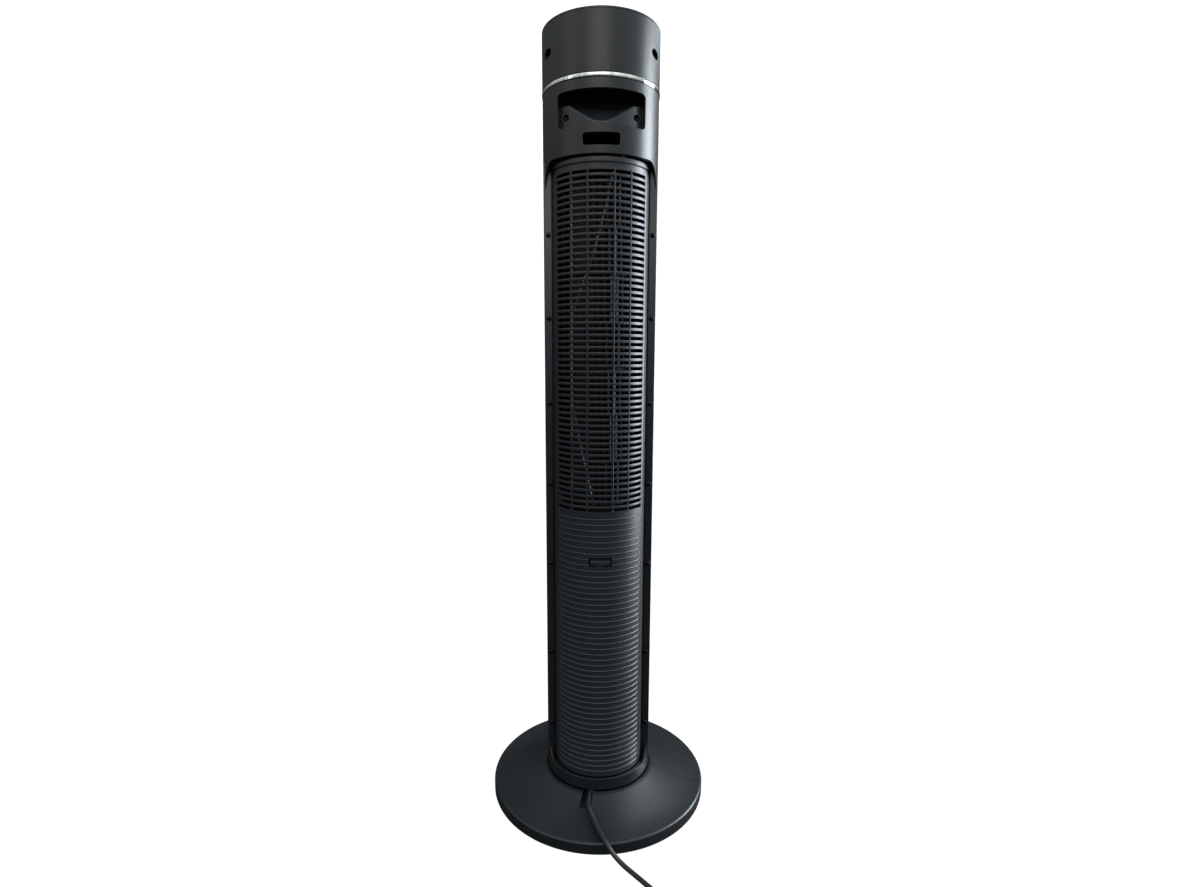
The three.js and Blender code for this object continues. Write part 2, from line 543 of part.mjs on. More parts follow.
function makeCord() {
  const boot = turned([[0, 0], [5, 0], [5, 4], [4, 8], [3.7, 14], [3.5, 21.4], [0, 21.4]], 12).rotate([-90, 0, 0]);
  add('cord_strain_relief', placed(boot.translate([-3.5, 64.4, 28.3]), BASE_TURN), rubber);
  add('power_cord', cable(CORD_ROUTE, CORD_R, 8, 34), rubber);
  const coil = ring(COIL.inner, COIL.outer, COIL.z0, COIL.z1, 28);
  add('cord_coil', coil.translate([COIL.x, COIL.y, 0]), rubber);
  const [in0, in1] = [COIL.inner - 1, COIL.outer + 1];
  const band = box(in0 - 1, in1 + 1, -3, 3, 0.1, COIL.z1 + 1.3)
    .subtract(box(in0, in1, -4, 4, COIL.z0 - 0.4, COIL.z1 + 0.4));
  add('cord_tie', band.rotate([0, 0, -120]).translate([COIL.x, COIL.y, 0]), steel);
}

// A two-blade mains plug lying flat beside the coil: tail, grip and blades.
function makePlug() {
  const tail = raised([[0, -3.6], [17.5, -4.4], [17.5, 4.4], [0, 3.6]], 4, 12.4);
  const grip = raised([[17, -4.6], [23, -12], [42, -12], [42, 12], [23, 12], [17, 4.6]], 0.2, 16.2);
  const blades = [-6.35, 6.35].map((y) => box(41, 59, y - 0.75, y + 0.75, 5, 11.4));
  const plug = joined([tail, grip, ...blades]).rotate([0, 0, 180]);
  add('mains_plug', plug.translate([COIL.x - 23.5, COIL.y + COIL.outer - CORD_R, 0]), rubber);
}

makeBaseHalves();
makeFeet();
makeTurntable();
makeDrive();
makeDeck();
makeFrontShell();
makeFrontGrille();
makeRearHousing();
makeHandlePocket();
makeRearGrille();
makeScrews();
makeHead();
makeAirGuide();
makeImpeller();
makeMotor();
makeHarness();
makeCord();
makePlug();

export default group;
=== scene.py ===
"""Tower fan: every visible piece, its finish and a plain studio, laid out as an add-on and run as a
script."""
import math

import bmesh
import bpy
import numpy as np
from mathutils import Matrix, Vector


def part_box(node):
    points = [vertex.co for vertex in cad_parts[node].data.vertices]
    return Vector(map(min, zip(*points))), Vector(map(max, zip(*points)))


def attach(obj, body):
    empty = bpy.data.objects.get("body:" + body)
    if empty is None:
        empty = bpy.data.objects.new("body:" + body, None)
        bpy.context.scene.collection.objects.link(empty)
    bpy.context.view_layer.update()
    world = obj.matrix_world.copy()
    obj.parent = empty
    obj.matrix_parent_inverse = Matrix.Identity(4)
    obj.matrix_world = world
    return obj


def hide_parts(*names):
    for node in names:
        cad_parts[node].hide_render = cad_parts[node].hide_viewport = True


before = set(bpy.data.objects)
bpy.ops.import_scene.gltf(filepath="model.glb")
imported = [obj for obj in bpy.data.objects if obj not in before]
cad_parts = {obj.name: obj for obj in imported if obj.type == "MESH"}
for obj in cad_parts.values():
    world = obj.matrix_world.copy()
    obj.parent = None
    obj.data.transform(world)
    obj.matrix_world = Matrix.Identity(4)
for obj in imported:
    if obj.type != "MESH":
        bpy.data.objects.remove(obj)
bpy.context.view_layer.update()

bl_info = {
    "name": "Tower fan",
    "version": (1, 0, 0),
    "blender": (4, 5, 0),
    "location": "3D View > Sidebar > Tower fan",
    "description": "Builds an upright oscillating fan, piece by piece, with its finishes",
    "category": "Add Mesh",
}

MM = 0.001


def cad(node):
    """Lowest and highest corner of a CAD node, in millimetres."""
    low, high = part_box(node)
    return np.array(low) / MM, np.array(high) / MM


# ---- sizes, in millimetres, from the frame where it holds them ----------------------------
SHELL_LOW, SHELL_HIGH = cad("rear_housing")
BODY_R = -cad("front_shell")[0][1]
BASE_R = 150.0
BASE_TURN = -11.5
HEAD_LOW, HEAD_HIGH = cad("head_cap")
HEAD_R = HEAD_HIGH[0]
TOP_Z = cad("top_panel")[1][2]
WALL = 2.6
SPLIT_ANGLE = 78.8
OPEN_Z = (50.0, 848.5)
OPEN_ANGLE = 72.4
SHELF = 2.5
STRIP_Y = 22.0
STRIP_X = (61.4, 70.8)
GRILLE_R = 61.5
GRILLE_Y = 7.5
GRILLE_EDGE = 79.2
SLOT_ROWS = 56
SLOT_TOP = 830.2
SLOT_PITCH = 7.43
SLOT_HIGH = 3.8
SLOT_X = 54.3
RIB_X = (16.3, 36.4)
RIDGE_TOP = 409.65
RIDGE_PITCH = 7.62
RIDGES = 47
TAB_X = (-15.9, 13.8)
TAB_Z = (347.3, 358.9)
FLANGE_Z = 840.2
GROOVE_Z = 839.5
POST_TOP = 838.0
GRIP_Z = (880.0, 919.0)
GRIP_X = 52.0
GRIP_LIP_Z = 906.7
SCOOP_Z = 887.0
GRIP_LIP_R = 66.5
GRIP_SCREW = (42.0, 46.5, 893.0)
SLEEVE_Z = (858.0, 871.4)
SLEEVE_X = 21.8
SIDE_SCREW_X = 65.4
SIDE_SCREW_Z = (103, 209, 337, 447, 554, 663, 765.5)
HEAD_HOLE = (63.8, 23.7, 969.8)
NOTCH_X = (-8.0, 6.5)
NOTCH_END = 99.0
NOTCH_FLOOR = 23.2
OUTLET_X = 46.0
OUTLET_Z = (410.0, 852.0)
BUTTONS = {"power": -27, "speed": -9, "swing": 9, "timer": 27}
BUTTON_Y = -38.0
FIELD_Z = TOP_Z - 2
PANEL_UNDER = TOP_Z - 4.7
LENS_LOW, LENS_HIGH = cad("display_lens")
FAN_Y = 6.0
FAN_R = 44.5
FAN_Z = (424.0, 832.0)
FOOT_R = 134.0
FOOT_ANGLES = (45, 135, 225, 315)
CORD_R = 3.0
COIL_X = -117.0
COIL_Y = 268.0
COIL_LOW, COIL_HIGH = cad("cord_coil")
PLUG_LOW, PLUG_HIGH = cad("mains_plug")


# ---- surfaces -----------------------------------------------------------------------------
class Work:
    """The points, in millimetres, and faces of one piece, gathered surface by surface."""

    def __init__(self):
        self.points, self.faces, self.finish, self.count = [], [], [], 0

    def put(self, surface, finish=0):
        points, blocks = surface
        for block in blocks:
            self.faces.extend((np.asarray(block) + self.count).tolist())
            self.finish.extend([finish] * len(block))
        self.points.append(points)
        self.count += len(points)
        return self

    def mesh(self, name):
        mesh = bpy.data.meshes.new(name)
        mesh.from_pydata(np.vstack(self.points) * MM, [], self.faces)
        mesh.polygons.foreach_set("material_index", self.finish)
        bm = bmesh.new()
        bm.from_mesh(mesh)
        bmesh.ops.remove_doubles(bm, verts=bm.verts, dist=0.004 * MM)
        bmesh.ops.delete(bm, geom=[v for v in bm.verts if not v.link_faces], context="VERTS")
        bmesh.ops.recalc_face_normals(bm, faces=bm.faces)
        bm.to_mesh(mesh)
        bm.free()
        return mesh


def grid_faces(rows, columns, wrap_rows=False, wrap_columns=False):
    """Four-sided faces between neighbouring points of a row-by-row grid."""
    i = np.arange(rows if wrap_rows else rows - 1)[:, None]
    j = np.arange(columns if wrap_columns else columns - 1)[None, :]
    a, b = i * columns + j, i * columns + (j + 1) % columns
    c, d = (i + 1) % rows * columns + (j + 1) % columns, (i + 1) % rows * columns + j
    return np.stack([a, b, c, d], -1).reshape(-1, 4)


def lofted(loops, ring=False, capped=True):
    """Closed loops joined one to the next: the skin over points loops[k, i]. A ring joins last to
    first."""
    loops = np.asarray(loops, float)
    rows, columns = loops.shape[:2]
    blocks = [grid_faces(rows, columns, ring, True)]
    if capped and not ring:
        blocks += [np.arange(columns)[None, ::-1], np.arange(columns)[None] + (rows - 1) * columns]
    return loops.reshape(-1, 3), blocks


def polar(radius, angle, z):
    """Points at a radius and an angle from +Y towards +X, in degrees."""
    a = np.radians(angle)
    x, y, z = np.broadcast_arrays(radius * np.sin(a), radius * np.cos(a), z)
    return np.stack([x, y, z], -1)


def turned(profile, angles=None, sides=96, centre=(0, 0)):
    """A closed profile of (radius, height) turned about a line parallel to Z, fully or through
    angles."""
    profile = np.asarray(profile, float)
    full = angles is None
    angles = np.linspace(0, 360, sides, endpoint=False) if full else angles
    points = polar(profile[None, :, 0], np.asarray(angles)[:, None], profile[None, :, 1])
    points[..., :2] += centre
    if full:
        return points.reshape(-1, 3), [grid_faces(len(angles), len(profile), True, True)]
    return lofted(points)


def rounded(corners, radius, steps=4):
    """A closed outline with each corner eased: a parabola from one edge to the next, close to an
    arc."""
    corners = np.asarray(corners, float)
    radius = np.broadcast_to(radius, len(corners))
    before, after = np.roll(corners, 1, 0) - corners, np.roll(corners, -1, 0) - corners
    long_before, long_after = np.linalg.norm(before, axis=1), np.linalg.norm(after, axis=1)
    before, after = before / long_before[:, None], after / long_after[:, None]
    half = np.arccos(np.clip((before * after).sum(1), -1, 1)) / 2
    reach = np.minimum(radius / np.tan(np.maximum(half, 1e-3)),
                       0.49 * np.minimum(long_before, long_after))[:, None]
    start, end = corners + before * reach, corners + after * reach
    t = np.linspace(0, 1, steps + 1)[None, :, None]
    points = (1 - t) ** 2 * start[:, None] + 2 * t * (1 - t) * corners[:, None] + t ** 2 * end[:,
                                                                                               None]
    return points.reshape(-1, 2)


def rectangle(x0, x1, y0, y1):
    return [[x1, y1], [x0, y1], [x0, y0], [x1, y0]]


def eased_rectangle(half_u, half_v, ru, rv, steps=6):
    """A rounded rectangle about the origin with elliptical corners of radii ru and rv."""
    a = np.radians(np.linspace(0, 90, steps + 1))
    quarters = []
    for k, (su, sv) in enumerate([(1, 1), (-1, 1), (-1, -1), (1, -1)]):
        b = a + k * math.pi / 2
        quarters.append(np.column_stack([su * (half_u - ru) + ru * np.cos(b),
                                         sv * (half_v - rv) + rv * np.sin(b)]))
    return np.vstack(quarters)


def slab(outline, z0, z1, edge=0.4, steps=2):
    """A flat outline raised from z0 to z1 with its rims rounded: each loop is drawn in by 1 - sin
    of its turn."""
    outline = np.asarray(outline, float)
    outline = outline[np.linalg.norm(np.roll(outline, -1, 0) - outline, axis=1) > 1e-6]
    to_next, to_last = np.roll(outline, -1, 0) - outline, outline - np.roll(outline, 1, 0)
    to_next, to_last = (way / np.linalg.norm(way, axis=1)[:, None] for way in (to_next, to_last))
    along = to_next + to_last
    inward = np.column_stack([-along[:, 1], along[:, 0]])
    inward /= np.linalg.norm(inward, axis=1)[:, None] + 1e-12
    area = np.sum(outline[:, 0] * np.roll(outline[:, 1], -1)
                  - outline[:, 1] * np.roll(outline[:, 0], -1))
    inward *= np.sign(area)
    turn = np.radians(np.linspace(0, 90, steps + 1))
    inset = edge * (1 - np.sin(turn))
    rise = edge * (1 - np.cos(turn))
    inset, height = np.concatenate([inset, inset[::-1]]), np.concatenate([z0 + rise,
                                                                          (z1 - rise)[::-1]])
    loops = [np.column_stack([outline + inward * d, np.full(len(outline), z)]) for d,
             z in zip(inset, height)]
    return lofted(loops)


def moved(surface, matrix=None, shift=(0, 0, 0)):
    """The same surface with its points turned by a 3 x 3 matrix and shifted."""
    points, blocks = surface
    points = points if matrix is None else points @ np.asarray(matrix, float).T
    return points + np.asarray(shift, float), blocks


def about_z(degrees):
    c, s = math.cos(math.radians(degrees)), math.sin(math.radians(degrees))
    return np.array([[c, -s, 0], [s, c, 0], [0, 0, 1]])


TO_REAR = np.array([[1, 0, 0], [0, 0, 1], [0, -1, 0]])    # what faced +Z faces +Y
OUT_REAR = TO_REAR @ np.diag([1, -1, 1])                  # the same, mirrored: Y and Z swap


def smooth_path(points, steps):
    """A Catmull-Rom curve through the points: each span is the cubic with its neighbours'
    slopes."""
    p = np.asarray(points, float)
    p = np.vstack([2 * p[0] - p[1], p, 2 * p[-1] - p[-2]])
    t = np.linspace(0, 1, steps, endpoint=False)[None, :, None]
    a, b, c, d = p[:-3, None], p[1:-2, None], p[2:-1, None], p[3:, None]
    curve = b + 0.5 * t * (c - a + t * (2 * a - 5 * b + 4 * c - d + t * (3 * (b - c) + d - a)))
    return np.vstack([curve.reshape(-1, 3), p[-2]])


def even_path(path, step):
    """The path again with its points a near-even step apart."""
    along = np.concatenate([[0], np.cumsum(np.linalg.norm(np.diff(path, axis=0), axis=1))])
    at = np.linspace(0, along[-1], int(round(along[-1] / step)) + 1)
    return np.column_stack([np.interp(at, along, path[:, k]) for k in range(3)])


def path_frames(path, up):
    """At each point of a path: its direction, and two directions square to it and to each other."""
    ahead = np.gradient(path, axis=0)
    ahead /= np.linalg.norm(ahead, axis=1)[:, None]
    side = np.cross(ahead, up)
    side /= np.linalg.norm(side, axis=1)[:, None]
    return ahead, side, np.cross(side, ahead)


def tube(path, radius, sides=14, up=(0, 0, 1)):
    """A round tube: circles of a radius, one or many, square to the path."""
    path = np.asarray(path, float)
    _, side, over = path_frames(path, up)
    a = np.linspace(0, 2 * math.pi, sides, endpoint=False)[None, :, None]
    radius = np.broadcast_to(radius, len(path))[:, None, None]
    return lofted(path[:, None] + radius * (np.cos(a) * side[:, None] + np.sin(a) * over[:, None]))


def hole(u, v, half_u, half_v, ru, rv, margin=0.35):
    """A rounded opening in a sheet, with how far its ring of faces reaches past it, as a share of
    ru and rv."""
    return {"at": np.array([u, v]), "core": np.array([half_u - ru, half_v - rv]),
            "r": np.array([ru, rv]),
            "pane": np.array([half_u - ru, half_v - rv]) + (1 + margin) * np.array([ru, rv]),
            "k": 1 + margin}


def lines_with(lines, holes, axis):
    """Grid lines joined by each hole's own: its pane's edge, and steps that divide its corners
    evenly."""
    found = [np.asarray(lines, float)]
    for h in holes:
        step = h["core"][axis] + h["k"] * h["r"][axis] * np.tan(np.radians([0, 15, 30, 45]))
        found += [h["at"][axis] + step, h["at"][axis] - step]
    merged = np.unique(np.round(np.concatenate(found), 4))
    return merged[np.concatenate([[True], np.diff(merged) > 0.02])]


def pierced(us, vs, holes, rings=2):
    """A flat sheet on a grid of lines with rounded openings. Round each opening the grid gives way
    to rings: a point p of the pane's edge runs to c + r (p - c) / |p - c|, where c is p held to the
    core."""
    us, vs = lines_with(us, holes, 0), lines_with(vs, holes, 1)
    nu, nv = len(us), len(vs)
    points = np.stack(np.meshgrid(us, vs), -1).reshape(-1, 2)
    cells = grid_faces(nv, nu)
    middle = points[cells].mean(1)
    keep = np.ones(len(cells), bool)
    blocks, extra, count = [], [], len(points)
    for h in holes:
        keep &= (np.abs(middle - h["at"]) > h["pane"]).any(1)
        i0, i1 = (int(np.abs(us - (h["at"][0] + s * h["pane"][0])).argmin()) for s in (-1, 1))
        j0, j1 = (int(np.abs(vs - (h["at"][1] + s * h["pane"][1])).argmin()) for s in (-1, 1))
        i, j = np.arange(i0, i1), np.arange(j0, j1)
        loop = np.concatenate([j0 * nu + i, j * nu + i1, j1 * nu + i[::-1] + 1,
                               (j[::-1] + 1) * nu + i0])
        p = points[loop] - h["at"]
        c = np.clip(p, -h["core"], h["core"])
        q = (p - c) / h["r"]
        edge = c + h["r"] * q / np.linalg.norm(q, axis=1)[:, None]
        last = loop
        for t in np.linspace(0, 1, rings + 1)[1:]:
            extra.append(h["at"] + p * (1 - t) + edge * t)
            ring = count + np.arange(len(loop))
            blocks.append(np.stack([last, np.roll(last, -1), np.roll(ring, -1), ring], -1))
            last = ring
            count += len(loop)
    return np.vstack([points, *extra]), np.vstack([cells[keep], *blocks])


def walled(sheet, outer, inner):
    """A flat sheet given two places in space, with walls between them along every free edge."""
    points, faces = sheet
    used, faces = np.unique(faces, return_inverse=True)
    faces = faces.reshape(-1, 4)
    points, n = points[used], len(used)
    edges = np.stack([faces, np.roll(faces, -1, 1)], -1).reshape(-1, 2)
    code, back = edges[:, 0] * n + edges[:, 1], edges[:, 1] * n + edges[:, 0]
    free = edges[~np.isin(code, back)]
    walls = np.stack([free[:, 1], free[:, 0], free[:, 0] + n, free[:, 1] + n], -1)
    both = np.vstack([outer(points[:, 0], points[:, 1]), inner(points[:, 0], points[:, 1])])
    return both, [faces, faces[:, ::-1] + n, walls]


def round_wall(radius, turn=0.0, centre_y=0.0):
    """Rolls a flat sheet of (millimetres round, height) on to a cylinder. Angle 0 is +Y."""
    def place(u, v, depth=0.0, base=radius):
        spot = polar(base - depth, np.degrees(u / base) + turn, v)
        spot[..., 1] += centre_y
        return spot
    return place


# ---- shader maths -------------------------------------------------------------------------
class Value:
    """A socket of a material's tree. Arithmetic on it adds Math nodes."""

    def __init__(self, tree, socket):
        self.tree, self.socket = tree, socket

    def node(self, kind, settings=None, **inputs):
        node = self.tree.nodes.new(kind)
        for key, value in (settings or {}).items():
            setattr(node, key, value)
        for key, value in inputs.items():
            by_number = key[0] == "i" and key[1:].isdigit()
            target = node.inputs[int(key[1:]) if by_number else key.replace("_", " ")]
            if isinstance(value, Value):
                self.tree.links.new(value.socket, target)
            else:
                target.default_value = value
        return node

    def math(self, operation, a, b=0.0):
        node = self.node("ShaderNodeMath", {"operation": operation}, i0=a, i1=b)
        return Value(self.tree, node.outputs[0])

    def __add__(self, other): return self.math("ADD", self, other)
    def __radd__(self, other): return self.math("ADD", other, self)
    def __sub__(self, other): return self.math("SUBTRACT", self, other)
    def __rsub__(self, other): return self.math("SUBTRACT", other, self)
    def __mul__(self, other): return self.math("MULTIPLY", self, other)
    def __rmul__(self, other): return self.math("MULTIPLY", other, self)
    def __truediv__(self, other): return self.math("DIVIDE", self, other)
    def __pow__(self, other): return self.math("POWER", self, other)

    def clamped(self):
        return self.math("MINIMUM", self.math("MAXIMUM", self, 0.0), 1.0)

    def noise(self, scale, detail=3.0, stretch=(1, 1, 1)):
        """Noise on this position, scale per metre, between 0 and 1."""
        where = self.node("ShaderNodeMapping", None, Vector=self, Scale=stretch)
        node = self.node("ShaderNodeTexNoise", None, Vector=Value(self.tree, where.outputs[0]),
                         Scale=scale,
                         Detail=detail, Roughness=0.55)
        return Value(self.tree, node.outputs["Fac"])

    def mixed(self, first, second):
        """Two colours mixed by this value."""
        node = self.node("ShaderNodeMix", {"data_type": "RGBA"}, i0=self, i6=(*first, 1),
                         i7=(*second, 1))
        return Value(self.tree, node.outputs[2])


def new_material(name, colour, roughness, metallic=0.0, specular=0.5, coat=0.0, coat_roughness=0.1):
    """A material with constant shader settings, and the position its patterns read."""
    material = bpy.data.materials.new(name)
    material.use_nodes = True
    tree = material.node_tree
    shader = tree.nodes["Principled BSDF"]
    settings = {"Base Color": (*colour, 1), "Roughness": roughness, "Metallic": metallic,
                "Specular IOR Level": specular, "Coat Weight": coat,
                "Coat Roughness": coat_roughness}
    for key, value in settings.items():
        shader.inputs[key].default_value = value
    place = tree.nodes.new("ShaderNodeTexCoord")
    return material, Value(tree, place.outputs["Object"]), shader


def link(value, shader, name):
    value.tree.links.new(value.socket, shader.inputs[name])


def bump(place, shader, height, distance, strength=1.0):
    """A raised pattern: height from 0 to 1 over a distance in metres."""
    node = place.node("ShaderNodeBump", None, Height=height, Distance=distance, Strength=strength)
    place.tree.links.new(node.outputs[0], shader.inputs["Normal"])


def shade(colour, factor):
    return tuple(min(1.0, c * factor) for c in colour)


def moulded_plastic(name, colour, roughness, grain=0.00003, coat=0.0):
    """Moulded plastic: fine spark-eroded grain, faint clouding of tone and handling marks in the
    gloss."""
    material, place, shader = new_material(name, colour, roughness, coat=coat, coat_roughness=0.2)
    cloud = place.noise(9.0, 4.0)
    link(cloud.mixed(shade(colour, 0.85), shade(colour, 1.2)), shader, "Base Color")
    link(roughness - 0.05 + cloud * 0.07 + place.noise(160.0, 2.0) * 0.05, shader, "Roughness")
    bump(place, shader, place.noise(1900.0, 2.0), grain)
    return material


def plated_chrome(name, colour):
    """Bright plating with the faint waviness of polished plastic underneath, and painted
    reflections: streaks in the colour from dark grey to warm white.
    """
    material, place, shader = new_material(name, colour, 0.07, metallic=1.0)
    # painted reflection: upright streaks of the colour run from a darker grey to warm white,
    # standing in for broken bright reflections
    tone = (place.noise(95.0, 2.0, (1, 1, 0.2)) * 3.2 - 1.1).clamped()
    link(tone.mixed(shade(colour, 0.72), (1.0, 0.97, 0.92)), shader, "Base Color")
    link(0.05 + place.noise(60.0, 3.0) * 0.07, shader, "Roughness")
    bump(place, shader, place.noise(130.0, 2.0, (1, 1, 0.3)), 0.0005)
    return material


def zinc_steel(name, colour):
    """Zinc-plated steel: soft mottling of tone and of gloss."""
    material, place, shader = new_material(name, colour, 0.35, metallic=1.0)
    mottle = place.noise(420.0, 4.0)
    link(mottle.mixed(shade(colour, 0.7), shade(colour, 1.25)), shader, "Base Color")
    link(0.24 + mottle * 0.22, shader, "Roughness")
    bump(place, shader, place.noise(1500.0, 2.0), 0.00002)
    return material


def soft_rubber(name, colour, roughness):
    """Matt rubber or vinyl: dusty tone and a fine pebble."""
    material, place, shader = new_material(name, colour, roughness, specular=0.4)
    dust = place.noise(110.0, 4.0)
    link(dust.mixed(shade(colour, 0.75), shade(colour, 1.5)), shader, "Base Color")
    link(roughness - 0.06 + dust * 0.12, shader, "Roughness")
    bump(place, shader, place.noise(2600.0, 2.0), 0.00003)
    return material


def dark_window(name, colour):
    """A polished tinted window with the faintest orange peel."""
    material, place, shader = new_material(name, colour, 0.06, coat=0.6, coat_roughness=0.03)
    link(0.05 + place.noise(240.0, 3.0) * 0.05, shader, "Roughness")
    bump(place, shader, place.noise(170.0, 1.0), 0.00001)
    return material


def board_green(name, colour):
    """Solder-masked board: copper tracks show through as lighter bars."""
    material, place, shader = new_material(name, colour, 0.4)
    tracks = (place.noise(900.0, 0.0, (1, 0.08, 1)) - 0.5) * 18.0
    link(tracks.clamped().mixed(colour, shade(colour, 1.9)), shader, "Base Color")
    bump(place, shader, tracks.clamped(), 0.00004)
    return material


FINISHES = {}


def make_finishes(colours):
    FINISHES.update({
        "satin_black": moulded_plastic("satin_black_shell", colours.shell, 0.36),
        # painted light: the grille's black is lighter than the casing's, standing in for the light
        # its bars catch
        "grille_black_painted_light": moulded_plastic("satin_black_grille_painted_light", colours.grille, 0.4),
        # partly painted shade: the inner parts' matt black is darker than the casing's, so the
        # works seen through the slots read as shaded
        "dark_black": moulded_plastic("matt_black_plastic_and_painted_shade", colours.inner, 0.5),
        # painted light: the recess gets a lighter black than the matt inner parts, so its scoop
        # reads as lit instead of shaded
        "recess_black_painted_light": moulded_plastic("matt_black_recess_painted_light", colours.recess, 0.42),
        # partly painted glint: the leads' insulation is made light grey so that the wires show as a
        # dotted line of glints
        "lead_grey_painted_glint": soft_rubber("lead_insulation_painted_glint", colours.wires, 0.35),
        "chrome": plated_chrome("chrome_trim", colours.chrome),
        "steel": zinc_steel("zinc_steel", colours.steel),
        "black_steel": zinc_steel("black_steel", colours.black_steel),
        "rubber": soft_rubber("foot_rubber", colours.rubber, 0.85),
        "cord_vinyl": soft_rubber("cord_vinyl", colours.rubber, 0.38),
        "acetal": moulded_plastic("natural_acetal", colours.acetal, 0.42),
        "tinted_lens": dark_window("tinted_window", colours.window),
        "circuit_board": board_green("solder_mask", colours.board),
        "print": moulded_plastic("key_print", colours.print, 0.45, 0.00001),
    })


# ---- pieces -------------------------------------------------------------------------------
def piece(name, work, slot, body, replaced=(), crease=32, bevel=0.0, more_finishes=(), look=None):
    """Makes the object, its finish and its shading, and lets it ride on its body."""
    mesh = work.mesh(name)
    # look, where given, swaps the slot's finish for a copy that paints light: the lighter grille,
    # the lighter recess and the grey motor leads
    for finish in (look or slot, *more_finishes):
        mesh.materials.append(FINISHES[finish])
    mesh.shade_smooth()
    mesh.set_sharp_from_angle(angle=math.radians(crease))
    obj = bpy.data.objects.new(name, mesh)
    bpy.context.scene.collection.objects.link(obj)
    if bevel:
        easing = obj.modifiers.new("eased_edges", "BEVEL")
        easing.width = bevel * MM
        easing.segments = 2
        easing.limit_method = "ANGLE"
        easing.angle_limit = math.radians(50)
        easing.harden_normals = True
    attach(obj, body)
    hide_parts(*([replaced] if isinstance(replaced, str) else replaced))
    return obj


def cut(name, work, cutters):
    """The gathered solid less the cutters, as new gathered work."""
    made = []
    for label, source in [(name, work), (name + "_cutter", cutters)]:
        obj = bpy.data.objects.new(label, source.mesh(label))
        bpy.context.scene.collection.objects.link(obj)
        made.append(obj)
    solid, knife = made
    tool = solid.modifiers.new("cut", "BOOLEAN")
    tool.operation, tool.solver, tool.object = "DIFFERENCE", "EXACT", knife
    evaluated = solid.evaluated_get(bpy.context.evaluated_depsgraph_get())
    mesh = bpy.data.meshes.new_from_object(evaluated)
    points = np.empty(len(mesh.vertices) * 3)
    mesh.vertices.foreach_get("co", points)
    result = Work()
    result.points.append(points.reshape(-1, 3) / MM)
    result.count = len(mesh.vertices)
    result.faces = [list(face.vertices) for face in mesh.polygons]
    result.finish = [face.material_index for face in mesh.polygons]
    for obj in made:
        bpy.data.objects.remove(obj)
    return result


def prism(outline, z0, z1):
    """A plain upright prism."""
    outline = np.asarray(outline, float)
    return lofted([np.column_stack([outline, np.full(len(outline), z)]) for z in (z0, z1)])


# ---- mains lead ---------------------------------------------------------------------------
CORD_ROUTE = [[13.85, 85.4, 28.3], [14.6, 90.5, 28.9], [14.2, 96.5, 29], [12.3, 103, 27.8],
              [9.6, 109.5, 25.9],
              [6.9, 116.5, 24.1], [3.9, 124.5, 22.7], [0.4, 133, 21.6], [-3.7, 142.5, 20.8],
              [-7.5, 149.8, 19.7],
              [-11.5, 155, 17], [-15.6, 159, 13.2], [-20.4, 162.5, 9.2], [-26.6, 167.4, 5.7],
              [-33.5, 173.8, 3.8],
              [-40.7, 181.2, 3.3], [-48, 189.4, 3.3], [-55.5, 197.9, 3.3], [-62.8, 206.2, 3.3],
              [-69.4, 214.6, 3.4],
              [-74.6, 223, 3.7], [-77.3, 231.5, 4.1], [-78, 239, 4.4], [-78, 246, 4.4]]
COIL_PLACES = [(39, 0), (33, 0), (27, 0), (27, 1), (33, 1), (33, 2), (39, 2),
               (39, 1)]   # radius, layer


def coil_path():
    """The coiled turns: the angle runs on evenly, and before each turn closes the cord shifts to
    the next free place in the winding, each shift a little earlier in the turn than the last."""
    shift, first, step = 45.0, 262.0, 311.0
    angle = np.arange(0, 6 * 360 + 90 + 1e-6, 6.0)
    radius = np.full(len(angle), float(COIL_PLACES[0][0]))
    layer = np.zeros(len(angle))
    for k, ((r0, l0), (r1, l1)) in enumerate(zip(COIL_PLACES, COIL_PLACES[1:])):
        t = np.clip((angle - first - k * step) / shift, 0, 1)
        t = t * t * (3 - 2 * t)
        radius += (r1 - r0) * t
        layer += (l1 - l0) * t
    a = np.radians(angle)
    height = COIL_LOW[2] + CORD_R + 2 * CORD_R * layer
    return np.column_stack([COIL_X + radius * np.cos(a), COIL_Y + radius * np.sin(a), height])


def cord_path():
    """The whole lead: the loose run, the coil, and a short fall to the plug."""
    coil = coil_path()
    end = np.array([PLUG_HIGH[0], coil[-1][1], (PLUG_LOW[2] + PLUG_HIGH[2]) / 2])
    t = np.linspace(0, 1, 9)[1:]
    fall = t * t * (3 - 2 * t)
    out = np.column_stack([coil[-1][0] + (end[0] - 2 - coil[-1][0]) * t, np.full(8, end[1]),
                           coil[-1][2] + (end[2] - coil[-1][2]) * fall])
    loose = smooth_path(CORD_ROUTE, 5)
    joint = smooth_path([loose[-2], loose[-1], coil[0], coil[1]], 6)[6:12]
    return even_path(np.vstack([loose[:-1], joint, coil[1:], out]), 3.0)


def make_cord(sizes):
    path, radius = cord_path(), sizes.cord / MM
    cord = piece("power_lead", Work().put(tube(path, radius)), "cord_vinyl", "base",
                 ("power_cord", "cord_coil"))
    length = np.linalg.norm(np.diff(path, axis=0), axis=1).sum()
    plug = make_plug()
    tie = make_tie()
    boot = make_boot()


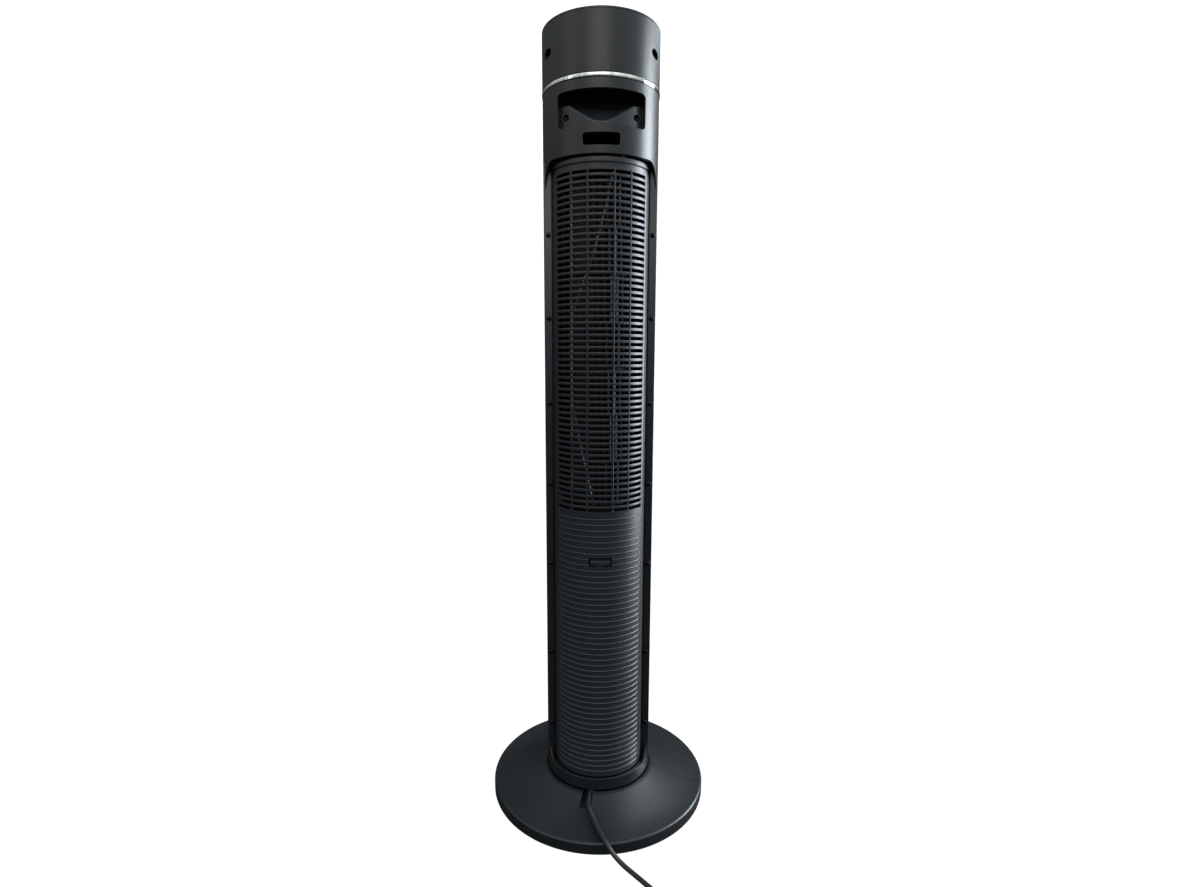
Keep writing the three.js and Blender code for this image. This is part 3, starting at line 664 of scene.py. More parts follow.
def make_plug():
    """Two-blade plug: a swept body whose section swells from the ribbed tail to the grip, and flat
    blades."""
    work = Work()
    x1, low, high = PLUG_HIGH[0], PLUG_LOW[2], PLUG_HIGH[2]
    y, z = COIL_Y + 39, (low + high) / 2
    along = np.array([0, 0.8, 3.2, 4, 4.8, 7.2, 8, 8.8, 11.2, 12, 12.8, 15, 16.5, 18.5, 20.5, 23,
                      27, 32, 37, 40.5,
                      41.6, 42])
    wide = np.array([3.6, 4, 4, 3.3, 4.1, 4.1, 3.4, 4.2, 4.2, 3.5, 4.3, 4.5, 5.2, 7.4, 9.6, 11.4,
                     11.6, 11, 11.6, 12,
                     11.6, 11])
    thick = np.array([3.6, 3.9, 3.9, 3.3, 4, 4, 3.4, 4.1, 4.1, 3.5, 4.2, 4.3, 4.8, 5.8, 6.8, 7.6, 8,
                      7.6, 7.8, 8,
                      7.6, 7])
    a = np.linspace(0, 2 * math.pi, 40, endpoint=False)
    c, s = np.cos(a), np.sin(a)
    square = (np.abs(c) ** 3.4 + np.abs(s) ** 3.4) ** (-1 / 3.4)
    loops = np.stack([np.broadcast_to((x1 - along)[:, None], (len(along), 40)),
                      y + wide[:, None] * c * square, z + thick[:, None] * s * square], -1)
    work.put(lofted(loops))
    root, half_gap, long, half_wide, half_thick = 41.5, 6.35, 17, 3.2, 0.75
    outline = [[0, -half_wide], [long, -half_wide], [long, half_wide], [0, half_wide]]
    blade = slab(rounded(outline, [0, 1.4, 1.4, 0]), -half_thick, half_thick, 0.2)
    turn = np.array([[-1, 0, 0], [0, 0, 1], [0, 1, 0]])
    for side in (-half_gap, half_gap):
        work.put(moved(blade, turn, (x1 - root, y + side, z)), 1)
    return piece("lead_plug", work, "cord_vinyl", "base", "mains_plug", more_finishes=("steel",))


def make_tie():
    """A flat strap round the coil's section, with its free end lapped over."""
    section = rounded(rectangle(23.3, 42.7, COIL_LOW[2] - 0.7, COIL_HIGH[2] + 0.7), 3.0, 6)
    centre = section.mean(0)
    out = section - centre
    out /= np.linalg.norm(out, axis=1)[:, None]
    loops = []
    for w, t in [(-2.6, 0), (-3, 0.15), (-3, 0.45), (-2.6, 0.6), (2.6, 0.6), (3, 0.45), (3, 0.15),
                 (2.6, 0)]:
        line = section + out * t
        loops.append(np.column_stack([line[:, 0], np.full(len(line), w), line[:, 1]]))
    work = Work().put(lofted(np.array(loops), ring=True))
    buckle = slab(rounded(rectangle(28, 38, -3.6, 3.6), 1.0), COIL_HIGH[2] + 0.9,
                  COIL_HIGH[2] + 1.3, 0.15)
    work.put(buckle)
    work.points = [moved((p, []), about_z(-120), (COIL_X, COIL_Y, 0))[0] for p in work.points]
    return piece("lead_tie", work, "rubber", "base", "cord_tie")


def make_boot():
    """Strain relief: a tapered sleeve with grooves, turned about the cord's first line."""
    length, start = 21.4, (-3.5, 64.4, 28.3)
    t = np.linspace(0, 1, 57)
    groove = 0.45 * np.clip(np.sin(t * math.pi * 14) * 3, 0, 1) * (t > 0.22) * (t < 0.93)
    radius = 3.4 + 1.6 * np.clip(1 - (t - 0.19) / 0.3, 0, 1) ** 1.6 - groove * (t > 0.3)
    profile = np.vstack([[0, 0], [4.6, 0], np.column_stack([radius, 0.4 + t * (length - 0.7)]),
                         [3.05, length], [0, length]])
    work = Work().put(moved(turned(profile, sides=28), OUT_REAR, start))
    work.points = [p @ about_z(BASE_TURN).T for p in work.points]
    return piece("lead_strain_relief", work, "rubber", "base", "cord_strain_relief")


# ---- base ---------------------------------------------------------------------------------
def base_top(r):
    """Height of the base's top: a low rim that sweeps up, ever steeper, to the column."""
    return 17 + 15.9 * ((148 - r) / 69) ** 2


def base_profile():
    """The base's section: a rounded rim, the swept top, a nearly flat inner lip and the hidden
    ledge."""
    wall = [[147.4, 1.5], [149.6, 1.5], [150, 1.9]]
    a = np.radians(np.linspace(0, 78, 9))
    rim = np.column_stack([147 + 3 * np.cos(a), 14.02 + 3 * np.sin(a)])
    r = np.linspace(147, 79.6, 34)
    top = np.column_stack([r, base_top(r)])
    lip = [[78.4, 32.9], [77, 33.1], [75.4, 33.2], [74.1, 33.1], [73.6, 32.8], [73.5, 32.4]]
    ledge = [[73.5, 23], [67, 23], [67, 20.3], [76.2, 20.3], [76.2, 28.6]]
    r = np.array([92, 104, 115, 130, 146])
    under = np.column_stack([r - 1, base_top(r) - 2.4])
    return np.vstack([wall, rim, top, lip, ledge, under, [[147.4, 13]]])


def make_base(sizes):
    """Both halves of the base: the section turned half way round each, the rear one with a tray for
    the lead."""
    seam = math.degrees(sizes.seam / 2 / MM / BASE_R)
    profile = base_profile()
    boss = turned(rounded([[0, 3.6], [9, 3.6], [9, 16], [0, 16]], 0), sides=24)
    for half, start in [("front", 90), ("rear", -90)]:
        angles = start + np.linspace(seam, 180 - seam, 91)
        work = Work().put(turned(profile, angles))
        for angle in FOOT_ANGLES:
            at = polar(FOOT_R, angle, 0)
            if (at[1] > 0) == (half == "rear"):
                work.put(moved(boss, None, at))
        if half == "rear":
            notch = rounded(rectangle(*NOTCH_X, 60, NOTCH_END), [3, 3, 0, 0])
            work = cut("base_rear", work, Work().put(prism(notch, NOTCH_FLOOR, 40)))
            lead_tray(work)
        work.points = [p @ about_z(BASE_TURN).T for p in work.points]
        piece(f"base_{half}", work, "satin_black", "base", f"base_{half}_half", bevel=0.4)


def lead_tray(work):
    """Floor and sides under the notch; the sides' tops run inside the base's skin."""
    work.put(slab(rectangle(NOTCH_X[0] - 2, NOTCH_X[1] + 2, 74.5, NOTCH_END + 0.5), 21.2,
                  NOTCH_FLOOR - 0.04, 0.1))
    y = np.linspace(77, NOTCH_END + 0.4, 9)
    for x, side in [(NOTCH_X[0] - 0.04, -2), (NOTCH_X[1] + 0.04, 2)]:
        top = base_top(np.hypot(x + side / 2, y)) - 1.2
        corners = [(x, 21.3), (x + side, 21.3), (x + side, None), (x, None)]
        loops = [[(cx, yy, high if cz is None else cz) for cx, cz in corners] for yy,
                 high in zip(y, top)]
        work.put(lofted(loops))


def make_feet():
    """Rubber feet: a low turned pad with a rounded foot."""
    profile = np.vstack([[0, 0], [6.9, 0], [7.6, 0.3], [8.2, 0.9], [8.5, 1.6], [8.5, 3.1],
                         [8.2, 3.3], [0, 3.3]])
    for i, angle in enumerate(FOOT_ANGLES):
        at = polar(FOOT_R, angle, 0) @ about_z(BASE_TURN).T
        piece(f"foot_{i + 1}", Work().put(moved(turned(profile, sides=40), None, at)), "rubber",
              "base",
              f"rubber_foot_{i + 1}")


# ---- column -------------------------------------------------------------------------------
def developed(x, radius=None):
    """Millimetres round the wall for a place x to one side."""
    radius = radius or BODY_R
    return radius * np.arcsin(x / radius)


def make_front_shell(sizes):
    """Front half of the column: a rolled sheet with the tall outlet opening, and its two inner
    flanges."""
    reach = math.radians(180 - SPLIT_ANGLE - 0.1) * BODY_R
    us = np.linspace(-reach, reach, 61)
    vs = np.linspace(SHELL_LOW[2], SHELL_HIGH[2], 31)
    middle, half = sum(OUTLET_Z) / 2, (OUTLET_Z[1] - OUTLET_Z[0]) / 2
    opening = hole(0, middle, developed(OUTLET_X), half, 20, 20)
    place = round_wall(BODY_R, 180)
    work = Work().put(walled(pierced(us, vs, [opening]), place, lambda u, v: place(u, v, WALL)))
    for side in (-1, 1):
        x0, x1 = sorted((60.5 * side, 70.4 * side))
        work.put(slab(rounded(rectangle(x0, x1, 10.8, 13.2), 0.3, 1), 62, 900, 0.3))
    piece("front_casing", work, "satin_black", "column", "front_shell", bevel=sizes.edge / MM)


def crescent(z0, z1):
    """A shelf between the column's wall and the grille's arc: points shared out evenly along both
    arcs."""
    t = np.linspace(-1, 1, 61)
    outer = polar(BODY_R - WALL + 0.2, t * 73.8, 0)[:, :2]
    inner = polar(GRILLE_R + 1, t * 78.6, 0)[:, :2] + [0, GRILLE_Y]
    return slab(np.vstack([outer, inner[::-1]]), z0, z1, 0.3)


def make_rear_housing(sizes):
    """Rear half: a rolled sheet with the grille opening, the carrying recess and the remote slot in
    it."""
    reach = math.radians(SPLIT_ANGLE) * BODY_R
    us = np.linspace(-reach, reach, 53)
    vs = np.linspace(SHELL_LOW[2], SHELL_HIGH[2], 31)
    side = math.radians(OPEN_ANGLE) * BODY_R
    openings = [hole(0, sum(OPEN_Z) / 2, side, (OPEN_Z[1] - OPEN_Z[0]) / 2, 23, 30, 0.12),
                hole(0, sum(GRIP_Z) / 2, developed(GRIP_X), (GRIP_Z[1] - GRIP_Z[0]) / 2, 6.5, 5,
                     0.3),
                hole(0, sum(SLEEVE_Z) / 2, developed(SLEEVE_X), (SLEEVE_Z[1] - SLEEVE_Z[0]) / 2, 3,
                     3, 0.4)]
    place = round_wall(BODY_R)
    work = Work().put(walled(pierced(us, vs, openings), place, lambda u, v: place(u, v, WALL)))
    for side in (-1, 1):
        x0, x1 = sorted((STRIP_X[0] * side, STRIP_X[1] * side))
        strip = rounded(rectangle(x0, x1, STRIP_Y - SHELF, STRIP_Y), 0.3, 1)
        work.put(slab(strip, OPEN_Z[0] - SHELF, OPEN_Z[1] + SHELF))
    work.put(crescent(OPEN_Z[0] - SHELF, OPEN_Z[0])).put(crescent(OPEN_Z[1], OPEN_Z[1] + SHELF))
    work.put(sleeve())
    piece("rear_casing", work, "satin_black", "column", "rear_housing", bevel=sizes.edge / MM)


def cup(half_x, z0, z1, radius, wall, back, floor, round_r):
    """A pocket that opens towards +Y: outer and inner rounded loops joined at a mouth that follows
    a cylinder."""
    middle, half = (z0 + z1) / 2, (z1 - z0) / 2
    outer = eased_rectangle(half_x + wall, half + wall, radius + wall, radius + wall)
    inner = eased_rectangle(half_x, half, radius, radius)
    loops = []
    for line, depth in [(outer, back), (outer, None), (inner, None), (inner, floor)]:
        y = np.sqrt(round_r ** 2 - line[:, 0] ** 2) if depth is None else np.full(len(line),
                                                                                  float(depth))
        loops.append(np.column_stack([line[:, 0], y, middle + line[:, 1]]))
    return lofted(loops)


def sleeve():
    return cup(SLEEVE_X, *SLEEVE_Z, 3, 2, -14, -12, BODY_R - WALL + 0.3)


def make_handle():
    """The carrying recess: a deep dark pocket, and in front of its lower part a panel that two
    screws hold, with a gap left at each end. With s from 0 at the scoop's foot to 1 at the panel's
    top, and w from 0 to 1 as the scoop opens to either side, the panel's face lies at y = arc -
    (arc - scoop_y) * s * w."""
    work = Work().put(cup(54.5, GRIP_Z[0] - 1, GRIP_Z[1] + 7, 5, 2.3, 30.5, 32.5,
                          BODY_R - WALL - 0.4))
    edge, scoop_y, foot, spread, soft = 48.5, 42, 12, 29, 1.5
    wells = [hole(s * GRIP_SCREW[0], GRIP_SCREW[2], 4, 4, 4, 4, 0.12) for s in (-1, 1)]
    us = np.linspace(-edge, edge, 61)
    vs = np.concatenate([[GRIP_Z[0] - 2.5], np.linspace(GRIP_Z[0], GRIP_LIP_Z, 22)])

    def face(u, v):
        arc = np.sqrt(GRIP_LIP_R ** 2 - u ** 2)
        s = np.clip((v - SCOOP_Z + soft) / (GRIP_LIP_Z - SCOOP_Z + soft), 0, 1)
        reach = foot + spread * s
        w = np.clip((reach - np.abs(u)) / foot, 0, 1)
        w = w * w * (3 - 2 * w)
        roll = np.clip((v - GRIP_LIP_Z + soft) / soft, 0, 1)
        return np.stack([u, arc - (arc - scoop_y) * s * w - 1.2 * roll ** 2, v], -1)

    def back(u, v):
        return np.stack([u, np.full(len(u), 34.0), v], -1)

    work.put(walled(pierced(us, vs, wells, 1), face, back))
    for side in (-1, 1):
        well = np.array([[4.5, -4], [4.5, 4.6], [3.95, 4.6], [3.95, 0.5], [1.8, 0.5], [1.8, -4]])
        spot = (side * GRIP_SCREW[0], GRIP_SCREW[1] - 0.5, GRIP_SCREW[2])
        work.put(moved(turned(well, sides=32), OUT_REAR, spot))
    # the recess's slot is matt black; its look is a lightened copy that paints light on the scoop
    piece("handle_recess", work, "dark_black", "column", "handle_pocket", crease=40,
          look="recess_black_painted_light")


def make_grille(sizes):
    """Rear grille: one rolled panel with a window, ribbed below and flanged above, and the louvre
    bars and upright ribs that fill the window."""
    work = Work()
    work.put(grille_panel(sizes.ridge / MM))
    place = round_wall(GRILLE_R, 0, GRILLE_Y)
    edge = developed(SLOT_X, GRILLE_R) + 0.6
    us = np.linspace(-edge, edge, 45)
    thick = 2.4
    high = (SLOT_PITCH - SLOT_HIGH) / 2
    section = np.array([[-high, thick], [-high, 0.75], [-high + 0.22, 0.2], [-high + 0.8, 0],
                        [high - 0.8, 0], [high - 0.22, 0.2], [high, 0.75], [high, thick]])
    for k in range(SLOT_ROWS - 1):
        z = SLOT_TOP - (k + 0.5) * SLOT_PITCH
        work.put(lofted([place(np.full(8, u), z + section[:, 0], section[:, 1]) for u in us]))
    window = (SLOT_TOP - (SLOT_ROWS - 1) * SLOT_PITCH - SLOT_HIGH, SLOT_TOP + SLOT_HIGH)
    rib = np.array([[-0.9, 2.4], [-0.9, -0.1], [-0.6, -0.4], [0.6, -0.4], [0.9, -0.1], [0.9, 2.4]])
    for x in (-RIB_X[1], -RIB_X[0], RIB_X[0], RIB_X[1]):
        u = developed(x, GRILLE_R)
        work.put(lofted([place(u + rib[:, 0], np.full(6, z), rib[:, 1]) for z in window]))
    # the grille's slot is the casing's satin black; its look is a lighter copy that paints light on
    # the bars
    piece("intake_grille", work, "satin_black", "column", "rear_grille", crease=38,
          look="grille_black_painted_light")


def grille_panel(ridge):
    """The panel's face: radius = arc + ridges, which fade out at the side posts, + flange, -
    groove, + a ridge on the snap tab, which stands in a slot cut on all sides but its hinge. The
    lower corners are rounded by d -> d max(d) / |d|, which bends a square to a quarter round."""
    edge = math.radians(GRILLE_EDGE) * GRILLE_R
    post = developed(SLOT_X, GRILLE_R)
    low, high = OPEN_Z[0] + 0.4, OPEN_Z[1] - 2
    tab_u = developed(np.array(TAB_X), GRILLE_R)
    tab_v = np.array(TAB_Z)
    line = 2.0
    outline = np.array([0, line])
    us = [np.linspace(-post, post, 33), [-edge, -edge + 0.8, -edge + 2.5, edge - 2.5, edge - 0.8,
                                         edge]]
    us += [tab_u[0] + outline, tab_u[1] - outline]
    for side in (-1, 1):
        us.append(side * (post + np.array([-4, -3, -2, -1, 0.4, 0.9, 1.6, 3, 5, 7, 9, 11])))
    ridges = RIDGE_TOP - RIDGE_PITCH * np.arange(RIDGES)
    steps = np.array([-1.0, -0.75, -0.4, 0, 0.4, 0.75, 1.0])
    window = (SLOT_TOP - (SLOT_ROWS - 1) * SLOT_PITCH - SLOT_HIGH / 2, SLOT_TOP + SLOT_HIGH / 2)

    def in_tab(u, v, inset):
        across = (u > tab_u[0] + inset) & (u < tab_u[1] - inset)
        return across & (v > tab_v[0] + inset) & (v < tab_v[1] - inset)

    vs = [(ridges[:, None] + steps).ravel(), window, tab_v[0] + outline, tab_v[1] - outline,
          [low, low + 0.5, low + 1.2, high, high - 0.5, high - 1.2, 840.9, 840.4, 839.8, 839.2,
           838.6, 838.2, 833],
          low + 11 * (1 - np.cos(np.radians([15, 30, 45, 60, 75, 90]))),
          np.linspace(window[0], window[1], 12), tab_v.mean() + 0.8 * steps]
    us = np.unique(np.round(np.concatenate([np.ravel(u) for u in us]), 3))
    vs = np.unique(np.round(np.concatenate([np.ravel(v) for v in vs]), 3))
    us, vs = (at[np.concatenate([[True], np.diff(at) > 0.06])] for at in (us, vs))
    points = np.stack(np.meshgrid(us, vs), -1).reshape(-1, 2)
    cells = grid_faces(len(vs), len(us))
    middle = points[cells].mean(1)
    u, v = middle.T
    inside = (np.abs(u) < post) & (v > window[0]) & (v < window[1])
    hinge = (np.abs(u - tab_u.mean()) < 4) & (v < tab_v.mean())
    sheet = (points, cells[~(inside | in_tab(u, v, 0) & ~in_tab(u, v, line) & ~hinge)])
    place = round_wall(GRILLE_R, 0, GRILLE_Y)

    def face(u, v):
        near = np.abs((v - RIDGE_TOP) / RIDGE_PITCH
                      - np.round((v - RIDGE_TOP) / RIDGE_PITCH)) * RIDGE_PITCH
        bump_up = ridge * np.clip(1 - (near / 1.0) ** 2, 0, 1)
        in_band = (v < RIDGE_TOP + 2) & (v > ridges[-1] - 2)
        fade = np.clip((post - 0.8 - np.abs(u)) / 2.5, 0, 1)
        tab = in_tab(u, v, -0.2)
        rise = bump_up * in_band * fade * ~tab
        rise += 0.6 * ridge * np.clip(1 - ((v - tab_v.mean()) / 0.8) ** 2, 0, 1) * in_tab(u, v,
                                                                                          line)
        rise += 0.9 * np.clip((v - FLANGE_Z) / 0.7, 0, 1)
        rise -= 0.9 * np.clip(1 - np.abs(v - GROOVE_Z) / 0.9, 0, 1)
        swell = np.clip((np.abs(u) - post - 0.3) / 1.3, 0, 1)
        rise += 0.5 * swell * (v < POST_TOP)
        rise -= 0.8 * np.clip((np.abs(u) - edge + 2.5) / 2.5, 0, 1) ** 2
        rise -= 0.6 * np.clip((low + 1.2 - v) / 1.2, 0, 1) ** 2 + 0.5 * np.clip((v - high + 1.0), 0,
                                                                                1) ** 2
        return place(*eased_corners(u, v), -rise)

    def eased_corners(u, v):
        r = 11.0
        du = np.clip((np.abs(u) - edge + r) / r, 0, 1)
        dv = np.clip((low + r - v) / r, 0, 1)
        scale = np.where((du > 0) & (dv > 0), np.maximum(du, dv) / np.hypot(du, dv + 1e-9), 1)
        u2 = np.where((du > 0) & (dv > 0), np.sign(u) * (edge - r + r * du * scale), u)
        v2 = np.where((du > 0) & (dv > 0), low + r - r * dv * scale, v)
        return u2, v2

    return walled(sheet, face, lambda u, v: place(*eased_corners(u, v), 2.4))


def make_outlet_grille():
    """Front grille: a rounded frame, upright bars and cross ribs, all rolled to the column's
    wall."""
    radius = BODY_R - 0.3
    place = round_wall(radius, 180)
    z0, z1 = OUTLET_Z[0] + 0.5, OUTLET_Z[1] - 0.5
    middle, half_v = (z0 + z1) / 2, (z1 - z0) / 2
    half_u = developed(OUTLET_X, BODY_R) - 0.4
    work = Work()
    loops = []
    for inset, depth in [(0, 2.5), (0, 0.5), (0.5, 0), (8.5, 0), (9, 0.5), (9, 2.5)]:
        line = eased_rectangle(half_u - inset, half_v - inset, 19.5 - inset, 19.5 - inset, 8)
        loops.append(place(line[:, 0], middle + line[:, 1], depth))
    work.put(lofted(loops, ring=True))
    step = 2 * (half_u + 0.9) / 12
    bar = np.array([[-1.6, 2.5], [-1.6, 0.7], [-1.0, 0.1], [0, -0.05], [1.0, 0.1], [1.6, 0.7],
                    [1.6, 2.5]])
    for i in range(-5, 6):
        high = half_v - 8.2 - (2.4 if abs(i) == 5 else 0)
        work.put(lofted([place(i * step + bar[:, 0], np.full(7, z), bar[:, 1])
                         for z in (middle - high, middle + high)]))
    pitch = (z1 - z0 - 9) / 5
    rib = bar[::-1] * [2.8, 1] + [0, 0.35]
    us = np.linspace(-half_u + 8, half_u - 8, 31)
    for k in range(1, 5):
        z = z0 + 4.5 + pitch * k
        work.put(lofted([place(np.full(7, u), z + rib[:, 0], rib[:, 1]) for u in us]))
    piece("outlet_grille", work, "dark_black", "column", "front_grille", crease=38)


# ---- head ---------------------------------------------------------------------------------
def make_head(sizes):
    """Head band: a full rolled sheet with two slanting screw holes at the rear, and the bright ring
    below."""
    reach = math.pi * HEAD_R
    us = np.linspace(-reach, reach, 121)
    vs = np.linspace(HEAD_LOW[2], HEAD_HIGH[2], 6)
    turn, wide, high = math.radians(61.8), 9, 5.4
    holes = [hole(s * turn * HEAD_R, HEAD_HOLE[2], wide, high, wide, high, 0.3) for s in (-1, 1)]
    place = round_wall(HEAD_R)
    closed = pierced(us, vs, holes)
    work = Work().put(head_skin(closed, place))
    boss = rounded([[1.8, -13.5], [4.6, -13.5], [4.6, 0], [1.8, 0]], [0, 0, 0.4, 0.3], 2)
    for side in (-1, 1):
        work.put(moved(turned(boss, sides=40), OUT_REAR, np.multiply(HEAD_HOLE, (side, 1, 1))))
    piece("head_band", work, "satin_black", "column", "head_cap", bevel=sizes.edge / MM)

    z0, z1 = cad("chrome_ring")[0][2], cad("chrome_ring")[1][2]
    section = rounded([[70, z0], [HEAD_R + 0.4, z0], [HEAD_R + 0.4, z1], [70, z1]],
                      [0.3, sizes.ring_edge / MM, sizes.ring_edge / MM, 0.3], 5)
    piece("bright_ring", Work().put(turned(section, sides=144)), "chrome", "column", "chrome_ring")


def head_skin(sheet, place):
    """A full turn: the two ends of the sheet meet, so the walls along them are left out."""
    points, blocks = walled(sheet, place, lambda u, v: place(u, v, WALL))
    walls = blocks[2]
    ends = np.abs(points[walls][:, :, 0]).max(1) < 1e-4
    ends &= points[walls][:, :, 1].max(1) < 0
    return points, [blocks[0], blocks[1], walls[~ends]]


def make_top_panel():
    """Top panel: a turned rim round a sunk field, cut for four keys and the window."""
    under = PANEL_UNDER
    rim = HEAD_HIGH[2] + 0.3
    a = np.radians(np.linspace(0, 90, 6))
    outside = np.column_stack([HEAD_R - 1 + np.cos(a), TOP_Z - 1 + np.sin(a)])
    inside = [[69.2, TOP_Z], [68.4, TOP_Z - 0.25], [67.4, FIELD_Z + 0.35], [66.4, FIELD_Z]]
    profile = np.vstack([[0, under], [66, under], [66, under - 2.3], [69.8, under - 2.3],
                         [69.8, rim], [HEAD_R, rim],
                         outside, inside, [0, FIELD_Z]])
    cutters, low, high = Work(), 985, 1015
    for x in BUTTONS.values():
        shaft = [[0, low], [6.4, low], [6.4, high], [0, high]]
        cutters.put(turned(shaft, sides=40, centre=(x, BUTTON_Y)))
    corner = LENS_HIGH + 0.3
    base = LENS_LOW - 0.3
    cutters.put(prism(rounded(rectangle(base[0], corner[0], base[1], corner[1]), 2), low, high))
    work = cut("top", Work().put(turned(profile, sides=144)), cutters)
    piece("control_panel", work, "satin_black", "column", "top_panel", bevel=0.25)
    lens = rounded(rectangle(LENS_LOW[0], LENS_HIGH[0], LENS_LOW[1], LENS_HIGH[1]), 1.8)
    piece("display_window", Work().put(slab(lens, LENS_LOW[2], LENS_HIGH[2], 0.35, 3)),
          "tinted_lens", "column",
          "display_lens")


def strip_along(path, width):
    """A flat line of a width along points in plan, as an outline."""
    path = np.asarray(path, float)
    way = np.gradient(path, axis=0)
    side = np.column_stack([-way[:, 1], way[:, 0]]) / np.linalg.norm(way, axis=1)[:,
                                                                                  None] * width / 2
    return np.vstack([path + side, (path - side)[::-1]])


def ring_line(radius, start, end, steps=24):
    a = np.radians(np.linspace(start, end, steps + 1))
    return np.column_stack([radius * np.cos(a), radius * np.sin(a)])


def key_mark(kind):
    """The printed mark of a key, as outlines in plan: a stroke in a broken ring, steps, arrows or a
    clock."""
    if kind == "power":
        return [strip_along(ring_line(2.1, 125, 415), 0.5), strip_along([[0, 0.5], [0, 2.7]], 0.5)]
    if kind == "speed":
        return [rectangle(x, x + 0.8, -1.8, top) for x,
                top in ((-2.2, -0.4), (-0.4, 0.8), (1.4, 2.0))]
    if kind == "swing":
        heads = [[[s * 2.9, 0], [s * 1.5, 1.1], [s * 1.5, -1.1]][::s] for s in (-1, 1)]
        return [strip_along([[-1.8, 0], [1.8, 0]], 0.5), *heads]
    return [strip_along(ring_line(2.2, 0, 357, 40), 0.45),
            strip_along([[0, 1.4], [0, 0], [1.0, -0.6]], 0.45)]


def make_buttons():
    """Keys: a turned cap with a dished top and a printed mark on it."""
    under = PANEL_UNDER
    top = cad("button_power")[1][2]
    dish = np.linspace(4.9, 0, 8)
    cap = np.vstack([[0, under - 8.3], [2, under - 8.3], [2, under - 2.8], [7.4, under - 2.8],
                     [7.4, under - 0.5],
                     [5.8, under - 0.5], [5.8, top - 0.5], [5.65, top - 0.15], [5.3, top],
                     np.column_stack([dish, top - 0.35 * (1 - (dish / 5.3) ** 2)])])
    for kind, x in BUTTONS.items():
        work = Work().put(turned(cap, sides=56, centre=(x, BUTTON_Y)))
        for outline in key_mark(kind):
            outline = -np.asarray(outline, float) + [x, BUTTON_Y]
            work.put(prism(outline, top - 0.45, top - 0.12), 1)
        piece(f"{kind}_key", work, "dark_black", f"{kind}_key", f"button_{kind}",
              more_finishes=("print",))


# ---- fasteners ----------------------------------------------------------------------------
def screw_head(radius, high, shank, length, cross):
    """A cross-recess screw that points +Z: a polar grid whose height is a dome less a cross, and a
    shank."""
    r = np.concatenate([[0, 0.25, 0.5, 0.75, 1.0, 1.25, 1.5, 1.7, 1.9],
                        np.linspace(2.1, radius, 6)])
    a = np.linspace(0, 2 * math.pi, 48, endpoint=False)
    x, y = r[:, None] * np.cos(a), r[:, None] * np.sin(a)
    dome = high * (0.35 + 0.65 * np.sqrt(np.clip(1 - (r[:, None] / radius) ** 2.4, 0, 1)))
    arm = np.clip((0.42 - np.minimum(np.abs(x), np.abs(y))) / 0.16, 0,
                  1) * np.clip((cross - r[:, None]) / 0.2, 0, 1)
    z = dome - 0.75 * high * arm
    top = np.stack([x, y, z], -1)
    lower = [np.column_stack([rr * np.cos(a), rr * np.sin(a), np.full(48, zz)])
             for rr, zz in [(radius, 0), (shank, 0), (shank * 0.96, -length + 1), (0.2, -length)]]
    return lofted(np.concatenate([top, np.array(lower)]))


def make_screws(sizes):
    cross = sizes.screw_recess / MM
    for side, label in [(1, "left"), (-1, "right")]:
        work = Work()
        for i, z in enumerate(SIDE_SCREW_Z):
            head = moved(screw_head(3.1, 1.7, 1.4, 14, cross), about_z(17 * i))
            work.put(moved(head, OUT_REAR, (side * SIDE_SCREW_X, STRIP_Y + 0.3, z)))
        piece(f"side_screws_{label}", work, "black_steel", "column",
              [f"side_screw_{label}_{i + 1}" for i in range(len(SIDE_SCREW_Z))])
        x, y, z = GRIP_SCREW
        grip = moved(screw_head(3.3, 1.7, 1.3, 14, cross), OUT_REAR, (side * x, y + 0.3, z))
        piece(f"grip_screw_{label}", Work().put(grip), "black_steel", "column",
              f"handle_screw_{label}")
        x, y, z = HEAD_HOLE
        cap = moved(screw_head(3.2, 1.7, 1.4, 12, cross), OUT_REAR, (side * x, y + 0.3, z))
        piece(f"head_screw_{label}_seen", Work().put(cap), "black_steel", "column",
              f"head_screw_{label}")


# ---- air mover and wiring -----------------------------------------------------------------
def make_impeller():
    """Cross-flow wheel: discs joined by curved blades. A blade's section is an arc that leans
    forward, and each section of the wheel is turned a little from the last."""
    z0, z1 = FAN_Z
    sections, blades = 7, 32
    work = Work()
    levels = np.linspace(z0, z1 - 2, sections + 1)
    for i, z in enumerate(levels):
        inner = 4.4 if i in (0, sections) else 30
        profile = rounded([[inner, z], [FAN_R, z], [FAN_R, z + 2], [inner, z + 2]], 0.5, 2)
        work.put(turned(profile, sides=72, centre=(0, FAN_Y)))
    for low, high in [(z0 + 1, z0 + 14), (z1 - 14, z1 - 1)]:
        work.put(turned([[4.4, low], [9, low], [9, high], [4.4, high]], sides=36,
                        centre=(0, FAN_Y)))
    t = np.linspace(0, 1, 5)
    r = np.concatenate([35 + 9 * t, (35 + 9 * t)[::-1]])
    lean = np.concatenate([13 * t ** 1.6, (13 * t ** 1.6)[::-1]]) + np.repeat([0, 1.5], 5)
    for low, high, turn in zip(levels[:-1] + 1, levels[1:] + 1, np.arange(sections) * 3.75):
        for angle in np.arange(blades) * 360 / blades + turn:
            loops = [polar(r, angle + lean, z) + [0, FAN_Y, 0] for z in (low, high)]
            work.put(lofted(loops, capped=False))
    # the wheel's dark black is partly painted shade, darkening the interior seen through the
    # grille's slots
    piece("fan_wheel_drum", work, "dark_black", "fan_wheel", "impeller", crease=40)


